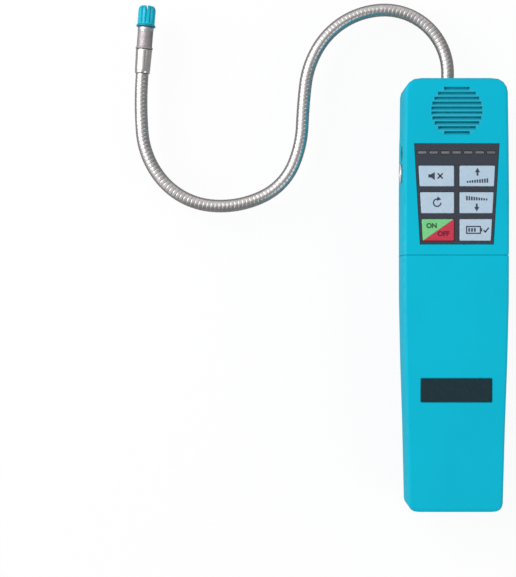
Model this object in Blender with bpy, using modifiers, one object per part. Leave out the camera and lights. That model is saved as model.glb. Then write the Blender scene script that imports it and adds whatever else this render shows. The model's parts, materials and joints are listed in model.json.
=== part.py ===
# Hand-held refrigerant gas leak detector, lying on its back.
# X is across the body, Y runs from the bottom end towards the probe, Z comes out of the front face.
# The origin is the middle of the flat back. Heights are measured along Y from the bottom end.

import math

import bmesh
import bpy
from mathutils import Matrix, Vector

MM = 0.001

# Clearances
FIT = 0.3 * MM
LIP_FIT = 0.6 * MM
KEY_CLEARANCE = 0.2 * MM

# Batteries and their tray
CELL_RADIUS = 13.1 * MM
CELL_LENGTH = 50 * MM
CELL_NUB_RADIUS = 3.3 * MM
CELL_NUB = 1.5 * MM
CELL_EDGE = 1 * MM
CELL_Z = 36.5 * MM
SPRING_LENGTH = 12.2 * MM
CONTACT_THICKNESS = 0.7 * MM
TRAY_WALL = 1.8 * MM
TRAY_BOTTOM = 11 * MM
TRAY_LENGTH = 2 * TRAY_WALL + 5 * FIT + SPRING_LENGTH + 2 * CELL_LENGTH + CONTACT_THICKNESS
TRAY_RIM = 5.5 * MM
TRAY_RIBS = (TRAY_BOTTOM + 29 * MM, TRAY_BOTTOM + TRAY_LENGTH - 24 * MM)
RIB_THICKNESS = 2 * MM
RIB_TOP = 28 * MM
RIB_SIDE = 3 * MM
PUMP_RIB_SIDE = 1.5 * MM
CONTACT_SIZE = 14 * MM
SPRING_WIRE = 0.5 * MM
SPRING_TURNS = 3
SPRING_POINTS_PER_TURN = 8
SPRING_SMALL = 3.5 * MM
SPRING_LARGE = 7 * MM

# Heights of the seam, the keypad and the whole body, each from the one below it
SEAM_ABOVE_TRAY = 7.4 * MM
COVER_SEAM = TRAY_BOTTOM + TRAY_LENGTH + SEAM_ABOVE_TRAY
KEYPAD_ABOVE_SEAM = 5.8 * MM
KEYPAD_BOTTOM = COVER_SEAM + KEYPAD_ABOVE_SEAM
KEYPAD_MARGIN = 1.7 * MM
KEY_GAP = 3.1 * MM
TOP_KEY_LENGTH = 10.9 * MM
MIDDLE_KEY_LENGTH = 11.1 * MM
LOW_KEY_LENGTH = 11.4 * MM
LOW_KEY = KEYPAD_BOTTOM + KEYPAD_MARGIN
MIDDLE_KEY = LOW_KEY + LOW_KEY_LENGTH + KEY_GAP
TOP_KEY = MIDDLE_KEY + MIDDLE_KEY_LENGTH + KEY_GAP
# Upper and lower end of each row of keys, from the top row down
KEY_ROWS = (
    (TOP_KEY + TOP_KEY_LENGTH, TOP_KEY),
    (MIDDLE_KEY + MIDDLE_KEY_LENGTH, MIDDLE_KEY),
    (LOW_KEY + LOW_KEY_LENGTH, LOW_KEY),
)
LED_HEIGHT = TOP_KEY + TOP_KEY_LENGTH + 7 * MM
KEYPAD_TOP = LED_HEIGHT + 4.6 * MM
BODY_LENGTH = KEYPAD_TOP + 34.9 * MM

# Body, from the back at Z = 0 to the front face
WALL = 2.2 * MM
SPLIT_Z = 30 * MM
SEAM_GAP = 0.3 * MM
EDGE_RADIUS = 1.8 * MM
LEAST_RADIUS = 1 * MM
LEAST_EDGE = 0.6 * MM
BACK_RADIUS = 9 * MM
BACK_DRAFT = 2 * MM
FRONT_DRAFT = 0.1 * MM
TOP_CORNER = 7.5 * MM
BOTTOM_CORNER = 4.5 * MM
# Height from the bottom end, half width, height of the front face above the back
STATIONS = (
    (0 * MM, 25.1 * MM, 55.5 * MM),
    (COVER_SEAM * 0.33, 26.1 * MM, 57.0 * MM),
    (COVER_SEAM * 0.59, 27.2 * MM, 58.2 * MM),
    (COVER_SEAM * 0.82, 27.85 * MM, 59.0 * MM),
    (COVER_SEAM, 27.9 * MM, 59.2 * MM),
    (KEYPAD_BOTTOM + 23.3 * MM, 27.95 * MM, 59.2 * MM),
    (KEYPAD_TOP + 1.9 * MM, 27.7 * MM, 59.2 * MM),
    (KEYPAD_TOP + 6.4 * MM, 27.5 * MM, 60.0 * MM),
    (BODY_LENGTH, 27.2 * MM, 59.2 * MM),
)
COVER_SEAM_GAP = 0.4 * MM
LIP_INSET = 1.4 * MM
LIP_HEIGHT = 2 * MM
TONGUE_LENGTH = 4.5 * MM
TONGUE_THICKNESS = 1.3 * MM

# Speaker and its louvres
SPEAKER_HEIGHT = BODY_LENGTH - 17.6 * MM
GRILLE_RADIUS = 13.5 * MM
LOUVRE_COUNT = 10
LOUVRE_PITCH = 2.6 * MM
LOUVRE_MOUTH = 2 * MM
LOUVRE_THROAT = 0.4 * MM
SPEAKER_RADIUS = 14 * MM
SPEAKER_FACE_Z = 56.7 * MM
SPEAKER_RIM = 4.5 * MM
MAGNET_RADIUS = 7 * MM
MAGNET_LENGTH = 3 * MM
CONE_CAP_RADIUS = 3 * MM
CONE_DEPTH = 2 * MM
CONE_CAP_RISE = 0.5 * MM
SURROUND_WIDTH = 1.5 * MM
SURROUND_SINK = 0.6 * MM
SPEAKER_BASKET = 3 * MM
SPEAKER_EDGE = 1 * MM

# Keypad, measured at the front face
KEYPAD_TOP_HALF = 22.25 * MM
KEYPAD_BOTTOM_HALF = 19.25 * MM
KEYPAD_FACE_Z = 59.1 * MM
OVERLAY_THICKNESS = 1.0 * MM
LEDGE_WIDTH = 0.6 * MM
KEY_INNER = 1.45 * MM
KEY_MARGIN = 1.4 * MM
KEY_PROUD = 0.5 * MM
KEY_EDGE = 0.3 * MM
KEY_FLANGE = 0.5 * MM
KEY_FLANGE_THICKNESS = 1.0 * MM
KEY_TRAVEL = 0.3 * MM
STEM_PLAY = 0.05 * MM
LED_COUNT = 7
LED_PITCH = 6.07 * MM
LED_LENGTH = 4.5 * MM
LED_WIDTH = 1.4 * MM
LED_SINK = 0.1 * MM

# Main board behind the keypad
BOARD_TOP_Z = 51.5 * MM
BOARD_THICKNESS = 1.6 * MM
BOARD_LOW = KEYPAD_BOTTOM - 4.7 * MM
BOARD_HIGH = KEYPAD_TOP + 5.4 * MM
BOARD_MARGIN = 0.8 * MM
# Chips under the board: middle, half width and half length
BOARD_CHIPS = (
    (8 * MM, KEYPAD_BOTTOM + 18.3 * MM, 7 * MM, 3.5 * MM),
    (-9 * MM, KEYPAD_BOTTOM + 30.3 * MM, 4 * MM, 4 * MM),
)
CHIP_THICKNESS = 2.5 * MM
SWITCH_SIZE = 6 * MM
SWITCH_BODY = 3.5 * MM
SWITCH_BUTTON = 0.8 * MM
SWITCH_BUTTON_RADIUS = 1.7 * MM
BOARD_SCREWS = (
    (-12 * MM, KEYPAD_BOTTOM - 2.5 * MM),
    (12 * MM, KEYPAD_BOTTOM - 2.5 * MM),
    (-18 * MM, KEYPAD_TOP + 2.8 * MM),
    (18 * MM, KEYPAD_TOP + 2.8 * MM),
)
BOARD_BOSS_RADIUS = 2.4 * MM
BOARD_SCREW_RADIUS = 0.9 * MM
BOARD_SCREW_HEAD = 1.9 * MM
BOARD_SCREW_HEAD_THICKNESS = 1.2 * MM
BOARD_SCREW_LENGTH = 5 * MM

# Screws through the back
HOUSING_SCREWS = (
    (-21.6 * MM, COVER_SEAM + 6.6 * MM),
    (21.6 * MM, COVER_SEAM + 6.6 * MM),
    (-20 * MM, BODY_LENGTH - 10.5 * MM),
    (20 * MM, BODY_LENGTH - 10.5 * MM),
)
POST_GAP = 1 * MM
HOUSING_BOSS_RADIUS = 3.2 * MM
POST_RADIUS = 2.7 * MM
SCREW_RADIUS = 1.4 * MM
SCREW_HEAD_RADIUS = 2.7 * MM
SCREW_HEAD_THICKNESS = 1.8 * MM
SCREW_HEAD = (SCREW_HEAD_RADIUS, SCREW_HEAD_THICKNESS)
SCREW_RECESS_DEPTH = 14 * MM
SCREW_LENGTH = 26 * MM
SCREW_SLOT = 0.8 * MM

# Screw in the bottom end that holds the battery cover
COVER_SCREW_Z = 40 * MM
COVER_SCREW_LENGTH = 7 * MM
COVER_PAD_RADIUS = 4.5 * MM
COVER_PAD_HEIGHT = 4.5 * MM
COVER_SCREW_RECESS = 2.5 * MM
COVER_POST_HALF = 4 * MM
COVER_POST_DEPTH = 5.5 * MM

# Label plate on the battery cover
LABEL_HEIGHT = 64.9 * MM
LABEL_WIDTH = 37.3 * MM
LABEL_DEPTH = 12.4 * MM
LABEL_THICKNESS = 0.6 * MM
LABEL_SINK = 0.3 * MM
LABEL_CORNER = 0.4 * MM

# Sampling pump behind the board
PUMP_X = -2 * MM
PUMP_Z = 15 * MM
MOTOR_RADIUS = 10 * MM
MOTOR_LOW = COVER_SEAM + 7.1 * MM
MOTOR_LENGTH = 23 * MM
MOTOR_NECK = 1.5 * MM
MOTOR_NECK_RADIUS = 3 * MM
MOTOR_EDGE = 1 * MM
PUMP_HEAD_EDGE = 1 * MM
PUMP_HEAD_LENGTH = 12 * MM
PUMP_HEAD_HALF = 9 * MM
PUMP_NOZZLE = 4 * MM
PUMP_NOZZLE_RADIUS = 1.6 * MM
BRACKET_THICKNESS = 1.5 * MM
BRACKET_WIDTH = 10 * MM
BRACKET_FOOT = 2.5 * MM
BRACKET_HEIGHT = MOTOR_LOW + 6 * MM
AIR_TUBE_RADIUS = 2.2 * MM
AIR_TUBE_STEPS = 12

# Probe socket in the top end of the rear housing
PROBE_Z = 20 * MM
PROBE_RADIUS = 3.55 * MM
SOCKET_NECK = 5 * MM
SOCKET_BODY = 5.8 * MM
SOCKET_FLANGE = 7 * MM
SOCKET_FLANGE_THICKNESS = 2 * MM
SOCKET_LENGTH = 19 * MM
SOCKET_BARB = 2.2 * MM
SOCKET_BARB_LENGTH = 6 * MM
SOCKET_BORE = 1.2 * MM
SOCKET_RIBS = (BODY_LENGTH - 18.5 * MM, BODY_LENGTH - 9.5 * MM)

# Probe: length of each run and the angle that it turns, left positive, from the top end
PROBE_RUNS = (
    (7.5 * MM, 0.0),
    (56 * MM, 92.0),
    (43 * MM, 58.0),
    (41 * MM, 35.0),
    (141 * MM, -181.0),
    (32 * MM, -8.5),
)
PROBE_HIDDEN = 16 * MM
RIDGE_PITCH = 2.2 * MM
RIDGE_DEPTH = 0.22 * MM

# Tip, on the end of the probe
FERRULE_LENGTH = 13.5 * MM
FERRULE_LOW_RADIUS = 4.15 * MM
FERRULE_HIGH_RADIUS = 4.5 * MM
COLLAR_LENGTH = 12.4 * MM
COLLAR_RADIUS = 4.3 * MM
COLLAR_FLANGE = 4.75 * MM
COLLAR_FLANGE_LENGTH = 1.2 * MM
FERRULE_EDGE = 0.4 * MM
SENSOR_SEAT = 3 * MM
SENSOR_EDGE = 1.2 * MM
KNURL_COUNT = 16
KNURL_DEPTH = 0.25 * MM
SENSOR_RADIUS = 2.7 * MM
SENSOR_LENGTH = 7 * MM
CAP_LENGTH = 11.6 * MM
CAP_RADIUS = 4.8 * MM
CAP_FLANGE = 5.3 * MM
CAP_FLANGE_LENGTH = 1.0 * MM
CAP_WALL = 1.3 * MM
CAP_RIBS = 12
CAP_GROOVE = 0.35 * MM
CAP_SLOT = 1.1 * MM
CAP_SLOT_DEPTH = 1.6 * MM
CAP_CROWN = 0.8 * MM
CAP_SHOULDER = 2.2 * MM
CAP_CLEAR = 1 * MM

# Sockets on the left side
JACK_Z = 44 * MM
EARPHONE_HEIGHT = KEYPAD_TOP - 4.2 * MM
POWER_HEIGHT = EARPHONE_HEIGHT - 10.5 * MM
JACK_BODY_RADIUS = 4 * MM
JACK_LENGTH = 11 * MM
EARPHONE_BORE = 1.8 * MM
POWER_BORE = 3.1 * MM
POWER_PIN = 1.0 * MM
POWER_RING = 5.2 * MM
POWER_RING_LENGTH = 0.7 * MM
JACK_BORE_DEPTH = 9 * MM
EARPHONE_SINK = 0.6 * MM

UP = (0, 0, 1)
TO_PROBE = (0, 1, 0)

TURQUOISE = (0.0, 0.47, 0.65)
METAL = (0.62, 0.60, 0.60)


# Scene, materials and collections


def clear_scene():
    for obj in list(bpy.data.objects):
        bpy.data.objects.remove(obj, do_unlink=True)


def make_collection(name):
    collection = bpy.data.collections.new(name)
    bpy.context.scene.collection.children.link(collection)
    return collection


def make_material(name, colour, roughness, metallic=0.0):
    material = bpy.data.materials.new(name)
    material.use_nodes = True
    shader = material.node_tree.nodes["Principled BSDF"]
    shader.inputs["Base Color"].default_value = (*colour, 1.0)
    shader.inputs["Roughness"].default_value = roughness
    shader.inputs["Metallic"].default_value = metallic
    return material


def add_object(name, mesh, collection):
    obj = bpy.data.objects.new(name, mesh)
    collection.objects.link(obj)
    if collection == CUTTERS:
        obj.hide_render = True
        obj.display_type = "WIRE"
    return obj


def finish(obj, material, smooth=False):
    for collection in list(obj.users_collection):
        collection.objects.unlink(obj)
    PARTS.objects.link(obj)
    obj.hide_render = False
    obj.display_type = "TEXTURED"
    obj.data.materials.clear()
    obj.data.materials.append(material)
    if smooth:
        obj.data.shade_smooth()
        obj.data.set_sharp_from_angle(angle=math.radians(35))
    return obj


# Places on the body


def along(height):
    return height - BODY_LENGTH / 2


def body_size(height):
    # Half width and front face at a height, straight between stations
    low = STATIONS[0]
    for high in STATIONS[1:]:
        if height <= high[0]:
            break
        low = high
    if low is high:
        return high[1], high[2]
    share = (height - low[0]) / (high[0] - low[0])
    return low[1] + share * (high[1] - low[1]), low[2] + share * (high[2] - low[2])


def front_at(height):
    return body_size(height)[1]


def keypad_half(height):
    share = (height - KEYPAD_BOTTOM) / (KEYPAD_TOP - KEYPAD_BOTTOM)
    return KEYPAD_BOTTOM_HALF + share * (KEYPAD_TOP_HALF - KEYPAD_BOTTOM_HALF)


# Basic solids


def box(name, low, high):
    mesh = bpy.data.meshes.new(name)
    work = bmesh.new()
    size = [b - a for a, b in zip(low, high)]
    centre = [(a + b) / 2 for a, b in zip(low, high)]
    bmesh.ops.create_cube(work, size=1, matrix=Matrix.Translation(centre) @ Matrix.Diagonal((*size, 1)))
    work.to_mesh(mesh)
    work.free()
    return add_object(name, mesh, CUTTERS)


def rod(name, start, end, radius, sides=20):
    # A cylinder between two points
    start, end = Vector(start), Vector(end)
    turn = (end - start).to_track_quat("Z", "Y").to_matrix().to_4x4()
    mesh = bpy.data.meshes.new(name)
    work = bmesh.new()
    bmesh.ops.create_cone(
        work,
        cap_ends=True,
        segments=sides,
        radius1=radius,
        radius2=radius,
        depth=(end - start).length,
        matrix=Matrix.Translation((start + end) / 2) @ turn,
    )
    work.to_mesh(mesh)
    work.free()
    return add_object(name, mesh, CUTTERS)


def turned(name, profile, sides=20, closed=False):
    # A profile of (radius, distance) pairs, given from the far end down the outside, turned about local Z
    mesh = bpy.data.meshes.new(name)
    points = [(radius, 0, distance) for radius, distance in profile]
    edges = [(i, i + 1) for i in range(len(points) - 1)]
    if closed:
        edges.append((len(points) - 1, 0))
    mesh.from_pydata(points, edges, [])
    obj = add_object(name, mesh, CUTTERS)
    screw = obj.modifiers.new("Turn", "SCREW")
    screw.axis = "Z"
    screw.steps = sides
    screw.render_steps = sides
    screw.use_merge_vertices = True
    screw.merge_threshold = 0.00001
    screw.use_smooth_shade = True
    return obj


def as_mesh(obj):
    # Replaces a curve with its evaluated mesh, its caps welded
    graph = bpy.context.evaluated_depsgraph_get()
    mesh = bpy.data.meshes.new_from_object(obj.evaluated_get(graph))
    work = bmesh.new()
    work.from_mesh(mesh)
    bmesh.ops.remove_doubles(work, verts=work.verts, dist=0.000001)
    bmesh.ops.recalc_face_normals(work, faces=work.faces)
    work.to_mesh(mesh)
    work.free()
    name, matrix, collection = obj.name, obj.matrix_world.copy(), obj.users_collection[0]
    bpy.data.objects.remove(obj, do_unlink=True)
    new = add_object(name, mesh, collection)
    new.matrix_world = matrix
    return new


def plate(name, outline, thickness, matrix=None):
    # A flat outline made solid, centred on its own plane
    curve = bpy.data.curves.new(name, "CURVE")
    curve.dimensions = "2D"
    curve.fill_mode = "BOTH"
    curve.extrude = thickness / 2
    spline = curve.splines.new("POLY")
    spline.points.add(len(outline) - 1)
    for point, (x, y) in zip(spline.points, outline):
        point.co = (x, y, 0, 1)
    spline.use_cyclic_u = True
    obj = add_object(name, curve, CUTTERS)
    if matrix is not None:
        obj.matrix_world = matrix
    bpy.context.view_layer.update()
    return as_mesh(obj)


def layer(name, outline, low_z, high_z):
    # A plate that lies between two levels
    return plate(name, outline, high_z - low_z, Matrix.Translation((0, 0, (low_z + high_z) / 2)))


def cut_with(obj, tool, operation="DIFFERENCE"):
    step = obj.modifiers.new(tool.name, "BOOLEAN")
    step.operation = operation
    step.solver = "EXACT"
    step.object = tool
    return obj


def join_to(obj, tool):
    return cut_with(obj, tool, "UNION")


def keep_inside(obj, tool):
    return cut_with(obj, tool, "INTERSECT")


def arc(centre, radius, start, end, steps):
    # Points from one angle to another, in degrees
    points = []
    for i in range(steps + 1):
        angle = math.radians(start + (end - start) * i / steps)
        points.append((centre[0] + radius * math.cos(angle), centre[1] + radius * math.sin(angle)))
    return points


# Body form


def end_stations(inset, steps):
    # Each section's height, and how far the end rounding draws it in across and in depth
    length = BODY_LENGTH - 2 * inset
    ends = []
    for corner in (BOTTOM_CORNER, TOP_CORNER):
        radius = max(corner - inset, LEAST_RADIUS)
        edge = max(EDGE_RADIUS - inset, LEAST_EDGE)
        rows = []
        for index in range(steps + 1):
            angle = math.pi / 2 * (1 - index / steps)
            depth = radius * (1 - math.sin(angle))
            across = radius * (1 - math.cos(angle))
            inwards = edge - math.sqrt(edge**2 - max(edge - depth, 0) ** 2)
            rows.append((depth, across, inwards))
        ends.append(rows)
    low = [(inset + depth, across, inwards) for depth, across, inwards in ends[0]]
    high = [(inset + length - depth, across, inwards) for depth, across, inwards in reversed(ends[1])]
    return low, high


def section(height, inset, across, inwards, steps):
    # One closed ring of the body, seen along Y, starting at the back on the right
    half, front = body_size(height)
    half = half - inset - across
    back = inset + inwards
    front = front - inset - inwards
    back_half = half - BACK_DRAFT
    front_half = half - FRONT_DRAFT
    back_radius = max(BACK_RADIUS - inset, LEAST_RADIUS)
    front_radius = max(EDGE_RADIUS - inset, LEAST_EDGE)
    right = arc((back_half - back_radius, back + back_radius), back_radius, -90, 0, steps)
    right.append((half, SPLIT_Z))
    right += arc((front_half - front_radius, front - front_radius), front_radius, 0, 90, steps)
    ring = right + [(-x, z) for x, z in reversed(right)]
    return [(x, along(height), z) for x, z in ring]


def body_form(name, inset, corner_steps=2):
    # The body's outer form, drawn in by an inset, as a loft through sections
    low, high = end_stations(inset, corner_steps + 1)
    first, last = low[0][0], high[-1][0]
    middle = [(height, 0.0, 0.0) for height, _, _ in STATIONS if first < height < last]
    middle = [row for row in middle if low[-1][0] + LEAST_RADIUS < row[0] < high[0][0] - LEAST_RADIUS]
    work = bmesh.new()
    rings = []
    for height, across, inwards in sorted(low + middle + high):
        points = section(height, inset, across, inwards, corner_steps)
        rings.append([work.verts.new(point) for point in points])
    for below, above in zip(rings, rings[1:]):
        for i in range(len(below)):
            j = (i + 1) % len(below)
            work.faces.new((below[i], below[j], above[j], above[i]))
    work.faces.new(rings[0])
    work.faces.new(list(reversed(rings[-1])))
    bmesh.ops.triangulate(work, faces=work.faces)
    bmesh.ops.recalc_face_normals(work, faces=work.faces)
    mesh = bpy.data.meshes.new(name)
    work.to_mesh(mesh)
    work.free()
    return add_object(name, mesh, CUTTERS)


def region(name, low_height, high_height, low_z, high_z):
    wide = BODY_LENGTH
    return box(name, (-wide, along(low_height), low_z), (wide, along(high_height), high_z))


# Shells


def rear_housing():
    far = BODY_LENGTH
    shell = body_form("rear_housing", 0.0, 3)
    keep_inside(shell, region("rear_half", -far, 2 * far, -far, SPLIT_Z - SEAM_GAP / 2))
    lip = body_form("rear_lip", LIP_INSET)
    keep_inside(lip, region("rear_lip_band", -far, 2 * far, SPLIT_Z - WALL, SPLIT_Z + LIP_HEIGHT))
    join_to(shell, lip)
    cut_with(shell, body_form("rear_inside", WALL))

    core = body_form("rear_core", WALL / 2)
    for index, (x, height) in enumerate(HOUSING_SCREWS):
        y = along(height)
        top = (x, y, SPLIT_Z - POST_GAP / 2)
        boss = rod(f"rear_boss_{index}", (x, y, 0), top, HOUSING_BOSS_RADIUS, 16)
        join_to(shell, keep_inside(boss, core))
    for index, (x, height) in enumerate(HOUSING_SCREWS):
        y = along(height)
        recess = SCREW_HEAD_RADIUS + FIT
        seat = (x, y, SCREW_RECESS_DEPTH)
        cut_with(shell, rod(f"rear_recess_{index}", (x, y, -WALL), seat, recess, 16))
        cut_with(shell, rod(f"rear_hole_{index}", (x, y, 0), (x, y, far), SCREW_RADIUS + FIT, 12))

    reach = CELL_RADIUS + FIT + TRAY_WALL + FIT
    for index, height in enumerate(TRAY_RIBS):
        cradle_rib(shell, core, f"tray_rib_{index}", height, 0, CELL_Z, reach, reach + RIB_SIDE, RIB_TOP)
    hollow = SOCKET_BODY + FIT
    half = hollow + RIB_SIDE
    for index, height in enumerate(SOCKET_RIBS):
        cradle_rib(shell, core, f"socket_rib_{index}", height, 0, PROBE_Z, hollow, half, PROBE_Z)
    height = MOTOR_LOW + MOTOR_LENGTH - RIB_THICKNESS
    hollow = MOTOR_RADIUS + FIT
    half = hollow + PUMP_RIB_SIDE
    cradle_rib(shell, core, "pump_rib", height, PUMP_X, PUMP_Z, hollow, half, PUMP_Z)

    low = along(COVER_PAD_HEIGHT + FIT)
    high = low + COVER_POST_DEPTH
    post_top = (COVER_POST_HALF, high, COVER_SCREW_Z + COVER_POST_HALF)
    join_to(shell, box("cover_post", (-COVER_POST_HALF, low, WALL / 2), post_top))
    start = (0, along(0), COVER_SCREW_Z)
    end = (0, along(COVER_SCREW_RECESS + COVER_SCREW_LENGTH + FIT), COVER_SCREW_Z)
    cut_with(shell, rod("cover_post_hole", start, end, SCREW_RADIUS + FIT, 12))

    start = (0, along(BODY_LENGTH - 2 * WALL), PROBE_Z)
    end = (0, along(BODY_LENGTH + WALL), PROBE_Z)
    cut_with(shell, rod("probe_hole", start, end, SOCKET_NECK + FIT, 24))
    finish(shell, SHELL_PLASTIC)


def cradle_rib(shell, core, name, height, x, z, hollow, half, top):
    # A cross rib from the back wall, with a round hollow for what lies in it
    y = along(height)
    rib = box(name, (x - half, y, 0), (x + half, y + RIB_THICKNESS, top))
    before, beyond = (x, y - RIB_THICKNESS, z), (x, y + 2 * RIB_THICKNESS, z)
    notch = rod(f"{name}_hollow", before, beyond, hollow, 16)
    join_to(shell, cut_with(keep_inside(rib, core), notch))


def front_shell(name, low_height, high_height):
    # The front half of the body between two heights, hollow, with a rebate for the rear housing's lip
    far = BODY_LENGTH
    shell = body_form(name, 0.0, 3)
    keep_inside(shell, region(f"{name}_region", low_height, high_height, SPLIT_Z + SEAM_GAP / 2, far))
    return shell


def open_inside(shell):
    name = shell.name
    far = BODY_LENGTH
    cut_with(shell, body_form(f"{name}_inside", WALL))
    rebate = body_form(f"{name}_rebate", LIP_INSET - LIP_FIT)
    keep_inside(rebate, region(f"{name}_rebate_band", -far, 2 * far, 0, SPLIT_Z + LIP_HEIGHT + FIT))
    cut_with(shell, rebate)


def keypad_outline(outset):
    top, bottom = KEYPAD_TOP + outset, KEYPAD_BOTTOM - outset
    right = [(keypad_half(bottom) + outset, along(bottom)), (keypad_half(top) + outset, along(top))]
    return right + [(-x, y) for x, y in reversed(right)]


def louvre(index):
    # A slot with an upright upper wall and a sloping lower one, cut through the front wall
    offset = ((LOUVRE_COUNT - 1) / 2 - index) * LOUVRE_PITCH
    height = SPEAKER_HEIGHT + offset
    half = math.sqrt(GRILLE_RADIUS**2 - offset**2)
    top = height + LOUVRE_MOUTH / 2
    outside = front_at(height) + WALL
    inside = front_at(height) - 2 * WALL
    slope = (LOUVRE_MOUTH - LOUVRE_THROAT) / WALL
    face = front_at(height)
    outline = [
        (along(top), inside),
        (along(top - LOUVRE_THROAT), inside),
        (along(top - LOUVRE_THROAT), face - WALL),
        (along(top - LOUVRE_MOUTH), face),
        (along(top - LOUVRE_MOUTH - slope * WALL), outside),
        (along(top), outside),
    ]
    turn = Matrix(((0, 0, 1, 0), (1, 0, 0, 0), (0, 1, 0, 0), (0, 0, 0, 1)))
    return plate(f"louvre_{index}", outline, 2 * half, turn)


def front_housing():
    low = COVER_SEAM + COVER_SEAM_GAP / 2
    shell = front_shell("front_housing", low, 2 * BODY_LENGTH)
    open_inside(shell)

    tongue_low, tongue_high = low - COVER_SEAM_GAP - TONGUE_LENGTH, low + WALL
    tongue = body_form("tongue", WALL + FIT)
    keep_inside(tongue, region("tongue_band", tongue_low, tongue_high, SPLIT_Z + 2 * WALL, BODY_LENGTH))
    root = body_form("tongue_root", WALL / 2)
    keep_inside(root, region("tongue_root_band", low + FIT, tongue_high, SPLIT_Z + 2 * WALL, BODY_LENGTH))
    join_to(tongue, root)
    cut_with(tongue, body_form("tongue_inside", WALL + FIT + TONGUE_THICKNESS))
    join_to(shell, tongue)

    for index, (x, height) in enumerate(HOUSING_SCREWS):
        y, top = along(height), front_at(height) - WALL / 2
        foot = (x, y, SPLIT_Z + POST_GAP / 2)
        join_to(shell, rod(f"front_post_{index}", foot, (x, y, top), POST_RADIUS, 12))
    for index, (x, height) in enumerate(BOARD_SCREWS):
        y, top = along(height), front_at(height) - WALL / 2
        seat = (x, y, BOARD_TOP_Z + FIT)
        join_to(shell, rod(f"board_boss_{index}", seat, (x, y, top), BOARD_BOSS_RADIUS, 10))
    for index, (x, height) in enumerate(HOUSING_SCREWS):
        y, top = along(height), SCREW_RECESS_DEPTH - FIT + SCREW_LENGTH + FIT
        cut_with(shell, rod(f"front_hole_{index}", (x, y, 0), (x, y, top), SCREW_RADIUS + FIT, 12))
    for index, (x, height) in enumerate(BOARD_SCREWS):
        y, top = along(height), board_screw_seat() + BOARD_SCREW_LENGTH + FIT
        hole = BOARD_SCREW_RADIUS + FIT
        cut_with(shell, rod(f"board_boss_hole_{index}", (x, y, SPLIT_Z), (x, y, top), hole, 12))

    pocket_floor = KEYPAD_FACE_Z - OVERLAY_THICKNESS - FIT
    cut_with(shell, layer("keypad_pocket", keypad_outline(FIT), pocket_floor, pocket_floor + 2 * WALL))
    opening = keypad_outline(-LEDGE_WIDTH)
    cut_with(shell, layer("keypad_opening", opening, pocket_floor - 2 * WALL, pocket_floor + WALL))
    for index in range(LOUVRE_COUNT):
        cut_with(shell, louvre(index))
    for height in (EARPHONE_HEIGHT, POWER_HEIGHT):
        y = along(height)
        side = body_size(height)[0]
        name = f"jack_hole_{round(height / MM)}"
        reach = JACK_BODY_RADIUS + FIT
        cut_with(shell, rod(name, (-2 * side, y, JACK_Z), (-side / 2, y, JACK_Z), reach))
    finish(shell, SHELL_PLASTIC)


def battery_cover():
    high = COVER_SEAM - COVER_SEAM_GAP / 2
    shell = front_shell("battery_cover", -BODY_LENGTH, high)
    open_inside(shell)
    start = (0, along(WALL / 2), COVER_SCREW_Z)
    join_to(shell, rod("cover_pad", start, (0, along(COVER_PAD_HEIGHT), COVER_SCREW_Z), COVER_PAD_RADIUS))
    outside = (0, along(-WALL), COVER_SCREW_Z)
    recess_end = (0, along(COVER_SCREW_RECESS), COVER_SCREW_Z)
    cut_with(shell, rod("cover_recess", outside, recess_end, SCREW_HEAD_RADIUS + FIT))
    hole_end = (0, along(2 * COVER_PAD_HEIGHT), COVER_SCREW_Z)
    cut_with(shell, rod("cover_hole", outside, hole_end, SCREW_RADIUS + FIT, 12))
    cut_with(shell, label_solid("label_pocket", FIT, LABEL_SINK - LABEL_THICKNESS - FIT, WALL))
    finish(shell, SHELL_PLASTIC)


# Label plate


def label_solid(name, outset, low, high):
    # A rounded plate parallel to the cover's face, between two levels above that face
    half_x, half_y, corner = LABEL_WIDTH / 2 + outset, LABEL_DEPTH / 2 + outset, LABEL_CORNER
    outline = []
    for x, y, start in ((1, 1, 0), (-1, 1, 90), (-1, -1, 180), (1, -1, 270)):
        outline += arc((x * (half_x - corner), y * (half_y - corner)), corner, start, start + 90, 2)
    rise = front_at(LABEL_HEIGHT + LABEL_DEPTH / 2) - front_at(LABEL_HEIGHT - LABEL_DEPTH / 2)
    slope = Matrix.Rotation(math.atan2(rise, LABEL_DEPTH), 4, "X")
    place = Matrix.Translation((0, along(LABEL_HEIGHT), front_at(LABEL_HEIGHT)))
    return plate(name, outline, high - low, place @ slope @ Matrix.Translation((0, 0, (low + high) / 2)))


def label_plate():
    finish(label_solid("label_plate", 0.0, LABEL_SINK - LABEL_THICKNESS, LABEL_SINK), DARK_PLASTIC)


# Keypad


def key_outline(row, side, outset):
    # side is -1 for the left column and 1 for the right one
    top, bottom = KEY_ROWS[row][0] + outset, KEY_ROWS[row][1] - outset
    inner = KEY_INNER - outset
    outer_top = keypad_half(top) - KEY_MARGIN + outset
    outer_bottom = keypad_half(bottom) - KEY_MARGIN + outset
    points = [(inner, bottom), (outer_bottom, bottom), (outer_top, top), (inner, top)]
    return [(side * x, along(height)) for x, height in points]


def key_centre(row, side):
    points = key_outline(row, side, 0.0)
    return sum(x for x, _ in points) / 4, sum(y for _, y in points) / 4


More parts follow.
